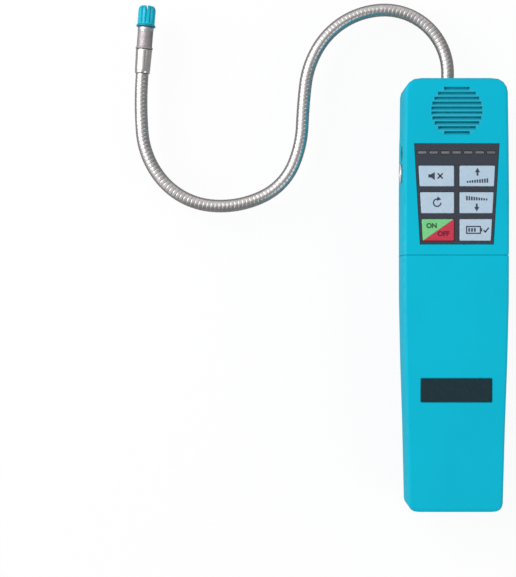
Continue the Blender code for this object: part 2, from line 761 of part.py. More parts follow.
def keypad_key(name, row, side, material):
    under = KEYPAD_FACE_Z - OVERLAY_THICKNESS - FIT
    bottom = under - KEY_FLANGE_THICKNESS
    foot = under - KEY_FLANGE_THICKNESS / 2
    cap = layer(name, key_outline(row, side, 0.0), foot, KEYPAD_FACE_Z + KEY_PROUD)
    edge = cap.modifiers.new("Soft edge", "BEVEL")
    edge.width = KEY_EDGE
    edge.segments = 1
    join_to(cap, layer(f"{name}_flange", key_outline(row, side, KEY_FLANGE), bottom, under))
    x, y = key_centre(row, side)
    button_top = BOARD_TOP_Z + FIT + SWITCH_BODY + SWITCH_BUTTON
    low = button_top + KEY_TRAVEL + STEM_PLAY
    join_to(cap, rod(f"{name}_stem", (x, y, low), (x, y, foot), SWITCH_BUTTON_RADIUS, 8))
    finish(cap, material)


def led_places():
    first = -(LED_COUNT - 1) / 2 * LED_PITCH
    return [first + index * LED_PITCH for index in range(LED_COUNT)]


def led_box(name, x, outset, low_z, high_z):
    half_x, half_y = LED_LENGTH / 2 + outset, LED_WIDTH / 2 + outset
    y = along(LED_HEIGHT)
    return box(name, (x - half_x, y - half_y, low_z), (x + half_x, y + half_y, high_z))


def keypad_overlay():
    low = KEYPAD_FACE_Z - OVERLAY_THICKNESS
    overlay = layer("keypad_overlay", keypad_outline(0.0), low, KEYPAD_FACE_Z)
    for row in range(len(KEY_ROWS)):
        for side in (-1, 1):
            outline = key_outline(row, side, KEY_CLEARANCE)
            cut_with(overlay, layer(f"window_{row}_{side}", outline, low - WALL, KEYPAD_FACE_Z + WALL))
    for index, x in enumerate(led_places()):
        window = led_box(f"led_window_{index}", x, KEY_CLEARANCE, low - WALL, KEYPAD_FACE_Z + WALL)
        cut_with(overlay, window)
    finish(overlay, DARK_PLASTIC)


def keys_and_lights():
    keypad_key("mute_key", 0, -1, KEY_RUBBER)
    keypad_key("sensitivity_up_key", 0, 1, KEY_RUBBER)
    keypad_key("reset_key", 1, -1, KEY_RUBBER)
    keypad_key("sensitivity_down_key", 1, 1, KEY_RUBBER)
    keypad_key("power_key", 2, -1, POWER_RUBBER)
    keypad_key("battery_test_key", 2, 1, KEY_RUBBER)
    for index, x in enumerate(led_places()):
        light = led_box(f"led_{index + 1}", x, 0.0, BOARD_TOP_Z + FIT, KEYPAD_FACE_Z - LED_SINK)
        finish(light, LIGHT_BAR)


# Main board and what is on it


def board_screw_seat():
    return BOARD_TOP_Z - BOARD_THICKNESS - FIT


def main_board():
    low, high = along(BOARD_LOW), along(BOARD_HIGH)
    low_half, high_half = keypad_half(BOARD_LOW) - BOARD_MARGIN, keypad_half(BOARD_HIGH) - BOARD_MARGIN
    outline = [(low_half, low), (high_half, high), (-high_half, high), (-low_half, low)]
    board = layer("main_board", outline, BOARD_TOP_Z - BOARD_THICKNESS, BOARD_TOP_Z)
    underside = BOARD_TOP_Z - BOARD_THICKNESS
    for index, (x, height, half_x, half_y) in enumerate(BOARD_CHIPS):
        y = along(height)
        low = (x - half_x, y - half_y, underside - CHIP_THICKNESS)
        join_to(board, box(f"chip_{index}", low, (x + half_x, y + half_y, underside + FIT)))
    for index, (x, height) in enumerate(BOARD_SCREWS):
        y = along(height)
        hole = BOARD_SCREW_RADIUS + FIT
        cut_with(board, rod(f"board_hole_{index}", (x, y, SPLIT_Z), (x, y, BODY_LENGTH), hole, 12))
    finish(board, BOARD_GREEN)

    number = 1
    for row in range(len(KEY_ROWS)):
        for side in (-1, 1):
            x, y = key_centre(row, side)
            half, low_z = SWITCH_SIZE / 2, BOARD_TOP_Z + FIT
            far_corner = (x + half, y + half, low_z + SWITCH_BODY)
            switch = box(f"switch_{number}", (x - half, y - half, low_z), far_corner)
            foot = (x, y, low_z + SWITCH_BODY / 2)
            top = (x, y, low_z + SWITCH_BODY + SWITCH_BUTTON)
            join_to(switch, rod(f"switch_button_{number}", foot, top, SWITCH_BUTTON_RADIUS, 8))
            finish(switch, DARK_PLASTIC)
            number += 1


# Screws


def screw(name, head_size, shank_radius, length, place, direction, sides):
    # A pan-head screw: its head's underside is at the place and its shank points along the direction
    head_radius, head = head_size
    profile = [
        (0, length),
        (shank_radius, length - shank_radius),
        (shank_radius, 0),
        (head_radius, 0),
        (head_radius, -head * 0.5),
        (head_radius * 0.7, -head),
        (0, -head),
    ]
    obj = turned(name, profile, sides)
    low = (-2 * head_radius, -SCREW_SLOT / 2, -2 * head)
    slot = box(f"{name}_slot", low, (2 * head_radius, SCREW_SLOT / 2, -head * 0.55))
    matrix = Matrix.Translation(place) @ Vector(direction).to_track_quat("Z", "Y").to_matrix().to_4x4()
    obj.matrix_world = matrix
    slot.matrix_world = matrix
    cut_with(obj, slot)
    finish(obj, STEEL)


def screws():
    for index, (x, height) in enumerate(HOUSING_SCREWS):
        place = (x, along(height), SCREW_RECESS_DEPTH - FIT)
        screw(f"housing_screw_{index + 1}", SCREW_HEAD, SCREW_RADIUS, SCREW_LENGTH, place, UP, 8)
    for index, (x, height) in enumerate(BOARD_SCREWS):
        place = (x, along(height), board_screw_seat())
        head = (BOARD_SCREW_HEAD, BOARD_SCREW_HEAD_THICKNESS)
        screw(f"board_screw_{index + 1}", head, BOARD_SCREW_RADIUS, BOARD_SCREW_LENGTH, place, UP, 6)
    place = (0, along(COVER_SCREW_RECESS - FIT), COVER_SCREW_Z)
    screw("cover_screw", SCREW_HEAD, SCREW_RADIUS, COVER_SCREW_LENGTH, place, TO_PROBE, 12)


# Speaker


def speaker():
    back = -SPEAKER_RIM
    profile = [
        (0, CONE_CAP_RISE - CONE_DEPTH),
        (CONE_CAP_RADIUS, -CONE_DEPTH),
        (SPEAKER_RADIUS - 2 * SURROUND_WIDTH, -SURROUND_SINK),
        (SPEAKER_RADIUS - SURROUND_WIDTH, 0),
        (SPEAKER_RADIUS, 0),
        (SPEAKER_RADIUS, -SPEAKER_EDGE),
        (SPEAKER_RADIUS - SPEAKER_BASKET, back),
        (MAGNET_RADIUS, back),
        (MAGNET_RADIUS, back - MAGNET_LENGTH),
        (0, back - MAGNET_LENGTH),
    ]
    obj = turned("speaker", profile, 16)
    obj.location = (0, along(SPEAKER_HEIGHT), SPEAKER_FACE_Z)
    finish(obj, DARK_PLASTIC)


# Batteries


def tray_outline(radius, rim):
    return [(radius, rim)] + arc((0, 0), radius, 0, -180, 14) + [(-radius, rim)]


def along_y(low_height, z):
    # Turns a flat outline in X and local Y so that it stands across the body and faces along Y
    return Matrix.Translation((0, along(low_height), z)) @ Matrix.Rotation(math.pi / 2, 4, "X")


def battery_tray():
    inner = CELL_RADIUS + FIT
    outer = inner + TRAY_WALL
    middle = TRAY_BOTTOM + TRAY_LENGTH / 2
    tray = plate("battery_tray", tray_outline(outer, TRAY_RIM), TRAY_LENGTH, along_y(middle, CELL_Z))
    hollow = TRAY_LENGTH - 2 * TRAY_WALL
    trough = plate("tray_trough", tray_outline(inner, 2 * TRAY_RIM), hollow, along_y(middle, CELL_Z))
    cut_with(tray, trough)
    finish(tray, DARK_PLASTIC)


def contact_low():
    return TRAY_BOTTOM + TRAY_LENGTH - TRAY_WALL - FIT - CONTACT_THICKNESS


def cell_low(number):
    # The cells lie in line, their nubs towards the contact plate
    top = contact_low() - FIT
    return top - number * CELL_LENGTH - (number - 1) * FIT


def battery_cell(number):
    shoulder = CELL_LENGTH - CELL_NUB
    profile = [
        (0, CELL_LENGTH),
        (CELL_NUB_RADIUS, CELL_LENGTH),
        (CELL_NUB_RADIUS, shoulder),
        (CELL_RADIUS - CELL_EDGE, shoulder),
        (CELL_RADIUS, shoulder - CELL_EDGE),
        (CELL_RADIUS, CELL_EDGE),
        (CELL_RADIUS - CELL_EDGE, 0),
        (0, 0),
    ]
    obj = turned(f"battery_cell_{number}", profile, 16)
    obj.rotation_euler = (-math.pi / 2, 0, 0)
    obj.location = (0, along(cell_low(number)), CELL_Z)
    finish(obj, CELL_WRAP)


def battery_contacts():
    half = CONTACT_SIZE / 2
    low = contact_low()
    far_corner = (half, along(low + CONTACT_THICKNESS), CELL_Z + half)
    contact = box("contact_plate", (-half, along(low), CELL_Z - half), far_corner)
    finish(contact, STEEL)

    start = TRAY_BOTTOM + TRAY_WALL + FIT + SPRING_WIRE
    end = start + SPRING_LENGTH - 2 * SPRING_WIRE
    count = SPRING_TURNS * SPRING_POINTS_PER_TURN
    points = []
    for index in range(count + 1):
        share = index / count
        angle = share * SPRING_TURNS * 2 * math.pi
        radius = SPRING_LARGE + share * (SPRING_SMALL - SPRING_LARGE)
        height = start + share * (end - start)
        points.append((radius * math.cos(angle), along(height), CELL_Z + radius * math.sin(angle)))
    spring = tube("battery_spring", points, SPRING_WIRE, 1)
    finish(spring, STEEL)


def tube(name, points, radius, resolution, scales=None):
    # A round bar along points, which may swell and narrow from point to point
    curve = bpy.data.curves.new(name, "CURVE")
    curve.dimensions = "3D"
    curve.bevel_depth = radius
    curve.bevel_resolution = resolution
    curve.use_fill_caps = True
    spline = curve.splines.new("POLY")
    spline.points.add(len(points) - 1)
    for index, point in enumerate(points):
        spline.points[index].co = (*point, 1)
        spline.points[index].radius = scales[index] if scales else 1.0
    obj = add_object(name, curve, CUTTERS)
    bpy.context.view_layer.update()
    return as_mesh(obj)


# Pump


def pump():
    profile = [
        (0, MOTOR_LENGTH),
        (MOTOR_NECK_RADIUS, MOTOR_LENGTH),
        (MOTOR_NECK_RADIUS, MOTOR_LENGTH - MOTOR_NECK),
        (MOTOR_RADIUS - MOTOR_EDGE, MOTOR_LENGTH - MOTOR_NECK),
        (MOTOR_RADIUS, MOTOR_LENGTH - MOTOR_NECK - MOTOR_EDGE),
        (MOTOR_RADIUS, MOTOR_EDGE),
        (MOTOR_RADIUS - MOTOR_EDGE, 0),
        (0, 0),
    ]
    motor = turned("pump_motor", profile, 16)
    motor.rotation_euler = (-math.pi / 2, 0, 0)
    motor.location = (PUMP_X, along(MOTOR_LOW), PUMP_Z)
    finish(motor, STEEL)

    low = MOTOR_LOW + MOTOR_LENGTH + FIT
    half, top = PUMP_HEAD_HALF, low + PUMP_HEAD_LENGTH
    far_corner = (PUMP_X + half, along(top), PUMP_Z + half)
    head = box("pump_head", (PUMP_X - half, along(low), PUMP_Z - half), far_corner)
    edge = head.modifiers.new("Soft edge", "BEVEL")
    edge.width = PUMP_HEAD_EDGE
    edge.segments = 1
    start = (PUMP_X, along(top - FIT), PUMP_Z)
    nozzle = rod("pump_nozzle", start, (PUMP_X, along(top + PUMP_NOZZLE), PUMP_Z), PUMP_NOZZLE_RADIUS, 12)
    finish(join_to(head, nozzle), DARK_PLASTIC)

    inner = MOTOR_RADIUS + FIT
    outer = inner + BRACKET_THICKNESS
    floor = WALL + FIT - PUMP_Z
    foot = outer + BRACKET_FOOT
    outline = arc((0, 0), outer, 0, 180, 10)
    foot_top = floor + BRACKET_THICKNESS
    outline += [(-outer, foot_top), (-foot, foot_top), (-foot, floor), (-inner, floor)]
    outline += arc((0, 0), inner, 180, 0, 10)
    outline += [(inner, floor), (foot, floor), (foot, foot_top), (outer, foot_top)]
    place = Matrix.Translation((PUMP_X, 0, 0)) @ along_y(BRACKET_HEIGHT + BRACKET_WIDTH / 2, PUMP_Z)
    finish(plate("pump_bracket", outline, BRACKET_WIDTH, place), STEEL)

    start = Vector((PUMP_X, along(top + PUMP_NOZZLE + FIT), PUMP_Z))
    end = Vector((0, along(socket_low() - FIT), PROBE_Z))
    points = []
    for index in range(AIR_TUBE_STEPS + 1):
        share = index / AIR_TUBE_STEPS
        ease = share * share * (3 - 2 * share)
        aside = start.lerp(end, ease)
        points.append((aside.x, start.lerp(end, share).y, aside.z))
    finish(tube("air_tube", points, AIR_TUBE_RADIUS, 2), TUBE_RUBBER)


# Probe


def socket_top():
    return BODY_LENGTH - FIT


def socket_low():
    return socket_top() - SOCKET_LENGTH - SOCKET_BARB_LENGTH


def probe_socket():
    flange_high = WALL + FIT
    body_low = SOCKET_LENGTH
    bore = PROBE_RADIUS + FIT
    bore_floor = -(PROBE_HIDDEN + FIT)
    down = [
        (bore, 0),
        (SOCKET_NECK, 0),
        (SOCKET_NECK, -flange_high),
        (SOCKET_FLANGE, -flange_high),
        (SOCKET_FLANGE, -flange_high - SOCKET_FLANGE_THICKNESS),
        (SOCKET_BODY, -flange_high - SOCKET_FLANGE_THICKNESS),
        (SOCKET_BODY, -body_low),
        (SOCKET_BARB * 0.8, -body_low),
        (SOCKET_BARB, -body_low - SOCKET_BARB_LENGTH * 0.6),
        (SOCKET_BARB * 0.7, -body_low - SOCKET_BARB_LENGTH),
        (SOCKET_BORE, -body_low - SOCKET_BARB_LENGTH),
        (SOCKET_BORE, bore_floor),
        (bore, bore_floor),
    ]
    obj = turned("probe_socket", down, 12, closed=True)
    obj.rotation_euler = (-math.pi / 2, 0, 0)
    obj.location = (0, along(socket_top()), PROBE_Z)
    finish(obj, STEEL)


def probe_line(step):
    # Points and headings along the probe, from inside the housing to the tip's seat
    x, y, heading = 0.0, along(socket_top() - PROBE_HIDDEN), math.pi / 2
    runs = [(BODY_LENGTH - socket_top() + PROBE_HIDDEN, 0.0)] + list(PROBE_RUNS)
    total = sum(length for length, _ in runs)
    count = 2 * round(total / (2 * step))
    spacing = total / count
    points = [(x, y, heading)]
    travelled = 0.0
    for _ in range(count):
        middle = travelled + spacing / 2
        reach = 0.0
        for length, turn in runs:
            reach += length
            if middle <= reach:
                break
        change = math.radians(turn) * spacing / length
        x += spacing * math.cos(heading + change / 2)
        y += spacing * math.sin(heading + change / 2)
        heading += change
        travelled += spacing
        points.append((x, y, heading))
    return points


def gooseneck():
    line = probe_line(RIDGE_PITCH / 2)
    points = [(x, y, PROBE_Z) for x, y, _ in line]
    valley = 1 - RIDGE_DEPTH / PROBE_RADIUS
    scales = [1.0 if index % 2 else valley for index in range(len(points))]
    finish(tube("gooseneck", points, PROBE_RADIUS, 2, scales), GOOSENECK_STEEL)


def probe_tip():
    x, y, heading = probe_line(RIDGE_PITCH / 2)[-1]
    tip = bpy.data.objects.new("probe_tip", None)
    PARTS.objects.link(tip)
    upright = Matrix.Rotation(heading - math.pi / 2, 4, "Z") @ Matrix.Rotation(-math.pi / 2, 4, "X")
    tip.matrix_world = Matrix.Translation((x, y, PROBE_Z)) @ upright
    tip.matrix_world = tip.matrix_world @ Matrix.Translation((0, 0, FIT))
    bpy.context.view_layer.update()

    ferrule_end = FERRULE_LENGTH - FIT
    ferrule = turned(
        "tip_ferrule",
        [
            (0, ferrule_end),
            (FERRULE_HIGH_RADIUS - FERRULE_EDGE, ferrule_end),
            (FERRULE_HIGH_RADIUS, ferrule_end - FERRULE_EDGE),
            (FERRULE_LOW_RADIUS, FERRULE_EDGE),
            (FERRULE_LOW_RADIUS - FERRULE_EDGE, 0),
            (0, 0),
        ],
        16,
    )
    ferrule.parent = tip
    finish(ferrule, STEEL)

    collar_low = ferrule_end + FIT
    collar_high = collar_low + COLLAR_LENGTH - FIT
    collar = tip_collar(tip, collar_low, collar_high)
    socket_floor = collar_high - SENSOR_SEAT
    above = (0, 0, collar_high + SENSOR_SEAT)
    seat = rod("sensor_seat", (0, 0, socket_floor), above, SENSOR_RADIUS + FIT, 16)
    seat.parent = tip
    cut_with(collar, seat)
    finish(collar, KNURLED_METAL)

    sensor_low = socket_floor + FIT
    sensor_high = collar_high + SENSOR_LENGTH
    sensor = turned(
        "sensor_tip",
        [
            (0, sensor_high),
            (SENSOR_RADIUS * 0.5, sensor_high),
            (SENSOR_RADIUS, sensor_high - SENSOR_EDGE),
            (SENSOR_RADIUS, sensor_low),
            (0, sensor_low),
        ],
        16,
    )
    sensor.parent = tip
    finish(sensor, STEEL)
    tip_protector(tip, collar_high + FIT)


def tip_collar(tip, low, high):
    # A knurled cylinder with a plain flange at its foot
    outline = []
    for index in range(2 * KNURL_COUNT):
        radius = COLLAR_RADIUS - (KNURL_DEPTH if index % 2 else 0.0)
        angle = math.pi * index / KNURL_COUNT
        outline.append((radius * math.cos(angle), radius * math.sin(angle)))
    middle = (low + COLLAR_FLANGE_LENGTH / 2 + high) / 2
    thickness = high - low - COLLAR_FLANGE_LENGTH / 2
    collar = plate("tip_collar", outline, thickness, Matrix.Translation((0, 0, middle)))
    collar.parent = tip
    flange = rod("collar_flange", (0, 0, low), (0, 0, low + COLLAR_FLANGE_LENGTH), COLLAR_FLANGE, 16)
    flange.parent = tip
    return join_to(collar, flange)


def tip_protector(tip, low):
    # A ribbed cap, open below, with a slot across its top that splits it into two lobes
    high = low + CAP_LENGTH
    bore = CAP_RADIUS - CAP_WALL
    cap = turned(
        "tip_protector",
        [
            (0, high),
            (CAP_RADIUS * 0.55, high),
            (CAP_RADIUS * 0.85, high - CAP_CROWN),
            (CAP_RADIUS, high - CAP_SHOULDER),
            (CAP_RADIUS, low + CAP_FLANGE_LENGTH),
            (CAP_FLANGE, low + CAP_FLANGE_LENGTH),
            (CAP_FLANGE, low),
            (bore, low),
            (bore, high - CAP_WALL - CAP_CROWN),
            (0, high - CAP_WALL - CAP_CROWN),
        ],
        16,
    )
    cap.parent = tip
    for index in range(CAP_RIBS):
        angle = 2 * math.pi * (index + 0.5) / CAP_RIBS
        reach = CAP_RADIUS + CAP_GROOVE
        x, y = reach * math.cos(angle), reach * math.sin(angle)
        foot = (x, y, low + 2 * CAP_FLANGE_LENGTH)
        groove = rod(f"cap_groove_{index}", foot, (x, y, high + CAP_CLEAR), 2 * CAP_GROOVE, 6)
        groove.parent = tip
        cut_with(cap, groove)
    wide = 2 * CAP_RADIUS
    slot_low = (-CAP_SLOT / 2, -wide, high - CAP_SLOT_DEPTH)
    slot = box("cap_slot", slot_low, (CAP_SLOT / 2, wide, high + CAP_CLEAR))
    slot.parent = tip
    cut_with(cap, slot)
    finish(cap, TURQUOISE_PLASTIC)


# Sockets on the left side


def side_jack(name, height, profile, material):
    # Local Z points out of the body, and zero is the side wall's outer face
    obj = turned(name, profile, 16)
    side = body_size(height)[0]
    turn = Matrix.Rotation(-math.pi / 2, 4, "Y")
    obj.matrix_world = Matrix.Translation((-side - FIT, along(height), JACK_Z)) @ turn
    finish(obj, material)


def side_jacks():
    earphone = [
        (0, -JACK_BORE_DEPTH),
        (EARPHONE_BORE, -JACK_BORE_DEPTH),
        (EARPHONE_BORE, -EARPHONE_SINK),
        (JACK_BODY_RADIUS, -EARPHONE_SINK),
        (JACK_BODY_RADIUS, -JACK_LENGTH),
        (0, -JACK_LENGTH),
    ]
    side_jack("earphone_jack", EARPHONE_HEIGHT, earphone, DARK_PLASTIC)
    power = [
        (0, -EARPHONE_SINK),
        (POWER_PIN, -EARPHONE_SINK),
        (POWER_PIN, -JACK_BORE_DEPTH),
        (POWER_BORE, -JACK_BORE_DEPTH),
        (POWER_BORE, POWER_RING_LENGTH),
        (POWER_RING, POWER_RING_LENGTH),
        (POWER_RING, 0),
        (JACK_BODY_RADIUS, 0),
        (JACK_BODY_RADIUS, -JACK_LENGTH),
        (0, -JACK_LENGTH),
    ]
    side_jack("power_jack", POWER_HEIGHT, power, STEEL)


def build():
    rear_housing()
    front_housing()
    battery_cover()
    label_plate()
    keypad_overlay()
    keys_and_lights()
    main_board()
    speaker()
    battery_tray()
    battery_cell(1)
    battery_cell(2)
    battery_contacts()
    pump()
    probe_socket()
    gooseneck()
    probe_tip()
    side_jacks()
    screws()


clear_scene()
PARTS = make_collection("gas_leak_detector")
CUTTERS = make_collection("cutters")
SHELL_PLASTIC = make_material("turquoise_shell", TURQUOISE, 0.45)
TURQUOISE_PLASTIC = make_material("turquoise_cap", TURQUOISE, 0.35)
DARK_PLASTIC = make_material("dark_plastic", (0.04, 0.045, 0.06), 0.5)
KEY_RUBBER = make_material("key_grey", (0.5, 0.6, 0.74), 0.5)
POWER_RUBBER = make_material("key_green_red", (0.25, 0.67, 0.22), 0.5)
LIGHT_BAR = make_material("light_bar", (0.6, 0.58, 0.55), 0.3)
BOARD_GREEN = make_material("board_green", (0.02, 0.2, 0.08), 0.5)
STEEL = make_material("steel", METAL, 0.3, 1.0)
GOOSENECK_STEEL = make_material("gooseneck_steel", METAL, 0.3, 1.0)
KNURLED_METAL = make_material("knurled_metal", METAL, 0.5, 1.0)
CELL_WRAP = make_material("cell_wrap", (0.1, 0.1, 0.1), 0.4)
TUBE_RUBBER = make_material("tube_rubber", (0.6, 0.6, 0.55), 0.5)
build()
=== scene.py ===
# Hand-held gas leak detector lying on its back, seen from above.
# X is across the body, Y runs from its bottom end to the probe, Z comes out of the front face.

import json
import math

import bpy
from mathutils import Matrix, Vector


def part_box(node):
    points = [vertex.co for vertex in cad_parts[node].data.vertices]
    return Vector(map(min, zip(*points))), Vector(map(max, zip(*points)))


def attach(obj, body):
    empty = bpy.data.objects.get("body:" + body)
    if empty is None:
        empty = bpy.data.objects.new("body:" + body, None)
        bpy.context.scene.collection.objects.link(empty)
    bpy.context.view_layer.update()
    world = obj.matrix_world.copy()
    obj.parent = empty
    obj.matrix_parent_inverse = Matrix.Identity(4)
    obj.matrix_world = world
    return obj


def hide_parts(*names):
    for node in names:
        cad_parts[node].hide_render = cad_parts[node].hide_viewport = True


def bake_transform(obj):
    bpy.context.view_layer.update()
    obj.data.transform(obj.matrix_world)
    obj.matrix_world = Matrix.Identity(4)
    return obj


mm = 0.001

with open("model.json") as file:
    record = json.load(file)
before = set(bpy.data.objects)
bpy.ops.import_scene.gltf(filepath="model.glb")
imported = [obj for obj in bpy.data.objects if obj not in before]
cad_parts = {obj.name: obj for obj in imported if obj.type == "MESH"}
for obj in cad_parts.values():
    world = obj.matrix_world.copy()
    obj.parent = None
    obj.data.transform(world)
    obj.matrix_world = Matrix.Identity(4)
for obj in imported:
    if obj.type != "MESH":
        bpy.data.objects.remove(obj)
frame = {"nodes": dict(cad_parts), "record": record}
nodes = frame["nodes"]
slotOf = {part["node"]: part["material_slot"] for part in frame["record"]["subparts"]}
bodyOf = {
    node: body for body, inIt in frame["record"]["behaviour"]["bodies"].items() for node in inIt
}
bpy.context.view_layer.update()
print("frame loaded:", len(nodes), "nodes")


# Working in object and edit mode

# vertices nearer to each other than this are made one
merging = {
    "cad": 0.005 * mm,
    "worked": 0.002 * mm,
    "fine": 0.001 * mm,
}


def deselectAll():
    if bpy.context.mode != "OBJECT":
        bpy.ops.object.mode_set(mode="OBJECT")
    bpy.ops.object.select_all(action="DESELECT")


def takeUp(obj):
    deselectAll()
    obj.select_set(True)
    bpy.context.view_layer.objects.active = obj


def newest(name):
    obj = bpy.context.object
    obj.name = name
    obj.data.name = name
    return obj


def editAll(obj):
    # the whole piece selected, in edit mode
    takeUp(obj)
    bpy.ops.object.mode_set(mode="EDIT")
    bpy.ops.mesh.select_all(action="SELECT")


def pick(obj, kind, test):
    # vertices, edges or faces selected by their middle, in edit mode
    takeUp(obj)
    mesh = obj.data
    for group in (mesh.vertices, mesh.edges, mesh.polygons):
        group.foreach_set("select", [False] * len(group))
    if kind == "VERT":
        for vertex in mesh.vertices:
            vertex.select = test(vertex.co)
    elif kind == "EDGE":
        for edge in mesh.edges:
            start, end = (mesh.vertices[index].co for index in edge.vertices)
            edge.select = test((start + end) / 2)
    else:
        for face in mesh.polygons:
            face.select = test(face.center)
    bpy.ops.object.mode_set(mode="EDIT")
    bpy.ops.mesh.select_mode(type=kind)


def done():
    bpy.ops.object.mode_set(mode="OBJECT")


def extrude(*step):
    bpy.ops.mesh.extrude_region_move(TRANSFORM_OT_translate={"value": step})


def applyAll(obj):
    takeUp(obj)
    for modifier in list(obj.modifiers):
        bpy.ops.object.modifier_apply(modifier=modifier.name)
    return obj


def settle(obj):
    # puts the piece's place into its mesh
    takeUp(obj)
    bpy.ops.object.transform_apply(location=True, rotation=True, scale=True)
    return obj


def tidyMesh(obj, merge=merging["worked"]):
    editAll(obj)
    bpy.ops.mesh.remove_doubles(threshold=merge)
    bpy.ops.mesh.normals_make_consistent(inside=False)
    done()
    return obj


def smooth(obj, angle=35):
    takeUp(obj)
    bpy.ops.object.shade_smooth_by_angle(angle=math.radians(angle))
    return obj


def cut(obj, cutter):
    step = obj.modifiers.new("cut", "BOOLEAN")
    step.operation = "DIFFERENCE"
    step.solver = "EXACT"
    step.object = cutter
    applyAll(obj)
    bpy.data.objects.remove(cutter, do_unlink=True)


def joined(pieces, name):
    takeUp(pieces[0])
    for piece in pieces[1:]:
        piece.select_set(True)
    bpy.ops.object.join()
    return newest(name)


def copyOf(nodeName, name):
    # a merged copy of a CAD node, without the node's own marks
    original = nodes[nodeName]
    piece = original.copy()
    piece.data = original.data.copy()
    piece.parent = None
    piece.name = name
    for key in list(piece.keys()):
        del piece[key]
    bpy.context.scene.collection.objects.link(piece)
    bpy.context.view_layer.update()
    return tidyMesh(piece, merging["cad"])


edgeBreak = {
    "flatWithin": 0.4,
    "segments": 2,
    "smoothTo": 40,
}


def brokenEdges(piece, width, angle):
    # flat areas made one face, and every edge sharper than the angle rounded
    editAll(piece)
    bpy.ops.mesh.dissolve_limited(angle_limit=math.radians(edgeBreak["flatWithin"]))
    done()
    edge = piece.modifiers.new("edge", "BEVEL")
    edge.limit_method = "ANGLE"
    edge.angle_limit = math.radians(angle)
    edge.width = width
    edge.segments = edgeBreak["segments"]
    edge.use_clamp_overlap = True
    smooth(tidyMesh(applyAll(piece)), edgeBreak["smoothTo"])
    even = piece.modifiers.new("even", "WEIGHTED_NORMAL")
    even.keep_sharp = True
    return applyAll(piece)


def place(piece, body, slot, material, replaced=()):
    piece.data.materials.clear()
    piece.data.materials.append(material)
    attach(piece, body)
    if replaced:
        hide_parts(*replaced)


# Shader maths

class Wire:
    # an output socket that can be added, multiplied and so on
    def __init__(self, paint, socket):
        self.paint = paint
        self.socket = socket

    def maths(self, operation, *others, clamp=False):
        settings = {"operation": operation, "use_clamp": clamp}
        return self.paint.node("ShaderNodeMath", settings, self, *others)

    def __add__(self, other):
        return self.maths("ADD", other)

    def __radd__(self, other):
        return self.maths("ADD", other)

    def __sub__(self, other):
        return self.maths("SUBTRACT", other)

    def __rsub__(self, other):
        return self.paint.node("ShaderNodeMath", {"operation": "SUBTRACT"}, other, self)

    def __mul__(self, other):
        return self.maths("MULTIPLY", other)

    def __truediv__(self, other):
        return self.maths("DIVIDE", other)

    def clamped(self):
        return self.maths("ADD", 0.0, clamp=True)

    def absolute(self):
        return self.maths("ABSOLUTE")


class Paint:
    # one material, or the world, and its nodes
    def __init__(self, name, owner=None):
        self.owner = owner or bpy.data.materials.new(name)
        self.owner.use_nodes = True
        self.tree = self.owner.node_tree
        self.tree.nodes.clear()

    def node(self, kind, settings, *values, out=0, **named):
        made = self.tree.nodes.new(kind)
        for key, value in settings.items():
            setattr(made, key, value)
        for index, value in enumerate(values):
            self.feed(made.inputs[index], value)
        for name, value in named.items():
            self.feed(made.inputs[name.replace("_", " ")], value)
        return Wire(self, made.outputs[out]) if made.outputs else None

    def feed(self, socket, value):
        if isinstance(value, Wire):
            self.tree.links.new(value.socket, socket)
        elif socket.type == "RGBA":
            socket.default_value = (*value, 1)
        else:
            socket.default_value = value

    def split(self, vector):
        outputs = self.node("ShaderNodeSeparateXYZ", {}, vector).socket.node.outputs
        return [Wire(self, output) for output in outputs]

    def where(self):
        # the object coordinates
        return self.node("ShaderNodeTexCoord", {}, out=3)

    def axes(self):
        return self.split(self.where())

    def noise(self, scale, detail, roughness=0.5):
        return self.node(
            "ShaderNodeTexNoise", {},
            Vector=self.where(), Scale=scale, Detail=detail, Roughness=roughness,
        )

    def mix(self, share, first, second):
        # the colour sockets of the node are its inputs 6 and 7 and its output 2
        made = self.tree.nodes.new("ShaderNodeMix")
        made.data_type = "RGBA"
        for index, value in ((0, share), (6, first), (7, second)):
            self.feed(made.inputs[index], value)
        return Wire(self, made.outputs[2])

    def grain(self, scale, detail, strength, height):
        return self.node(
            "ShaderNodeBump", {},
            Strength=strength, Distance=height, Height=self.noise(scale, detail),
        )

    def rays(self):
        # whether a ray comes from the camera, and whether from a mirroring surface
        outputs = self.node("ShaderNodeLightPath", {}).socket.node.outputs
        return Wire(self, outputs["Is Camera Ray"]), Wire(self, outputs["Is Glossy Ray"])

    def surface(self, **sockets):
        shader = self.node("ShaderNodeBsdfPrincipled", {}, **sockets)
        self.node("ShaderNodeOutputMaterial", {}, shader)
        return self.owner


def ease(value, low, high):
    # 0 below low, 1 above high
    return ((value - low) / (high - low)).clamped()


def reach(first, second):
    # length of the diagonal over two distances
    return (first * first + second * second).maths("POWER", 0.5)


# The probe's route. Each run is a length in millimetres and a turn in degrees.
# Each ring of a ridge is a share of the pitch and a share of the depth.

probe = {
    "bodyEnd": 115 * mm,
    "level": 20 * mm,
    "hidden": 16.3 * mm,
    "bendLength": 30 * mm,
    "runs": (
        (7.5, 0.0), (56, 92.04), (43, 56.97), (22, 24.25), (22, 4.22), (22, -20.06), (26, -42.87),
        (30, -31.8), (30, -42.22), (30, -36.84), (32, -8.89),
    ),
    "ridges": 153,
    "rootRidges": 24,
    "radius": 3.53 * mm,
    "ridgeDepth": 0.09 * mm,
    "ridge": (
        (0.03, 1.0), (0.08, 0.4), (0.14, 0.06), (0.20, 0.0), (0.80, 0.0), (0.86, 0.06), (0.92, 0.4),
        (0.97, 1.0), (1.0, 1.0),
    ),
    "sides": 32,
    "ringsApart": 0.01 * mm,
    "smoothTo": 50,
}


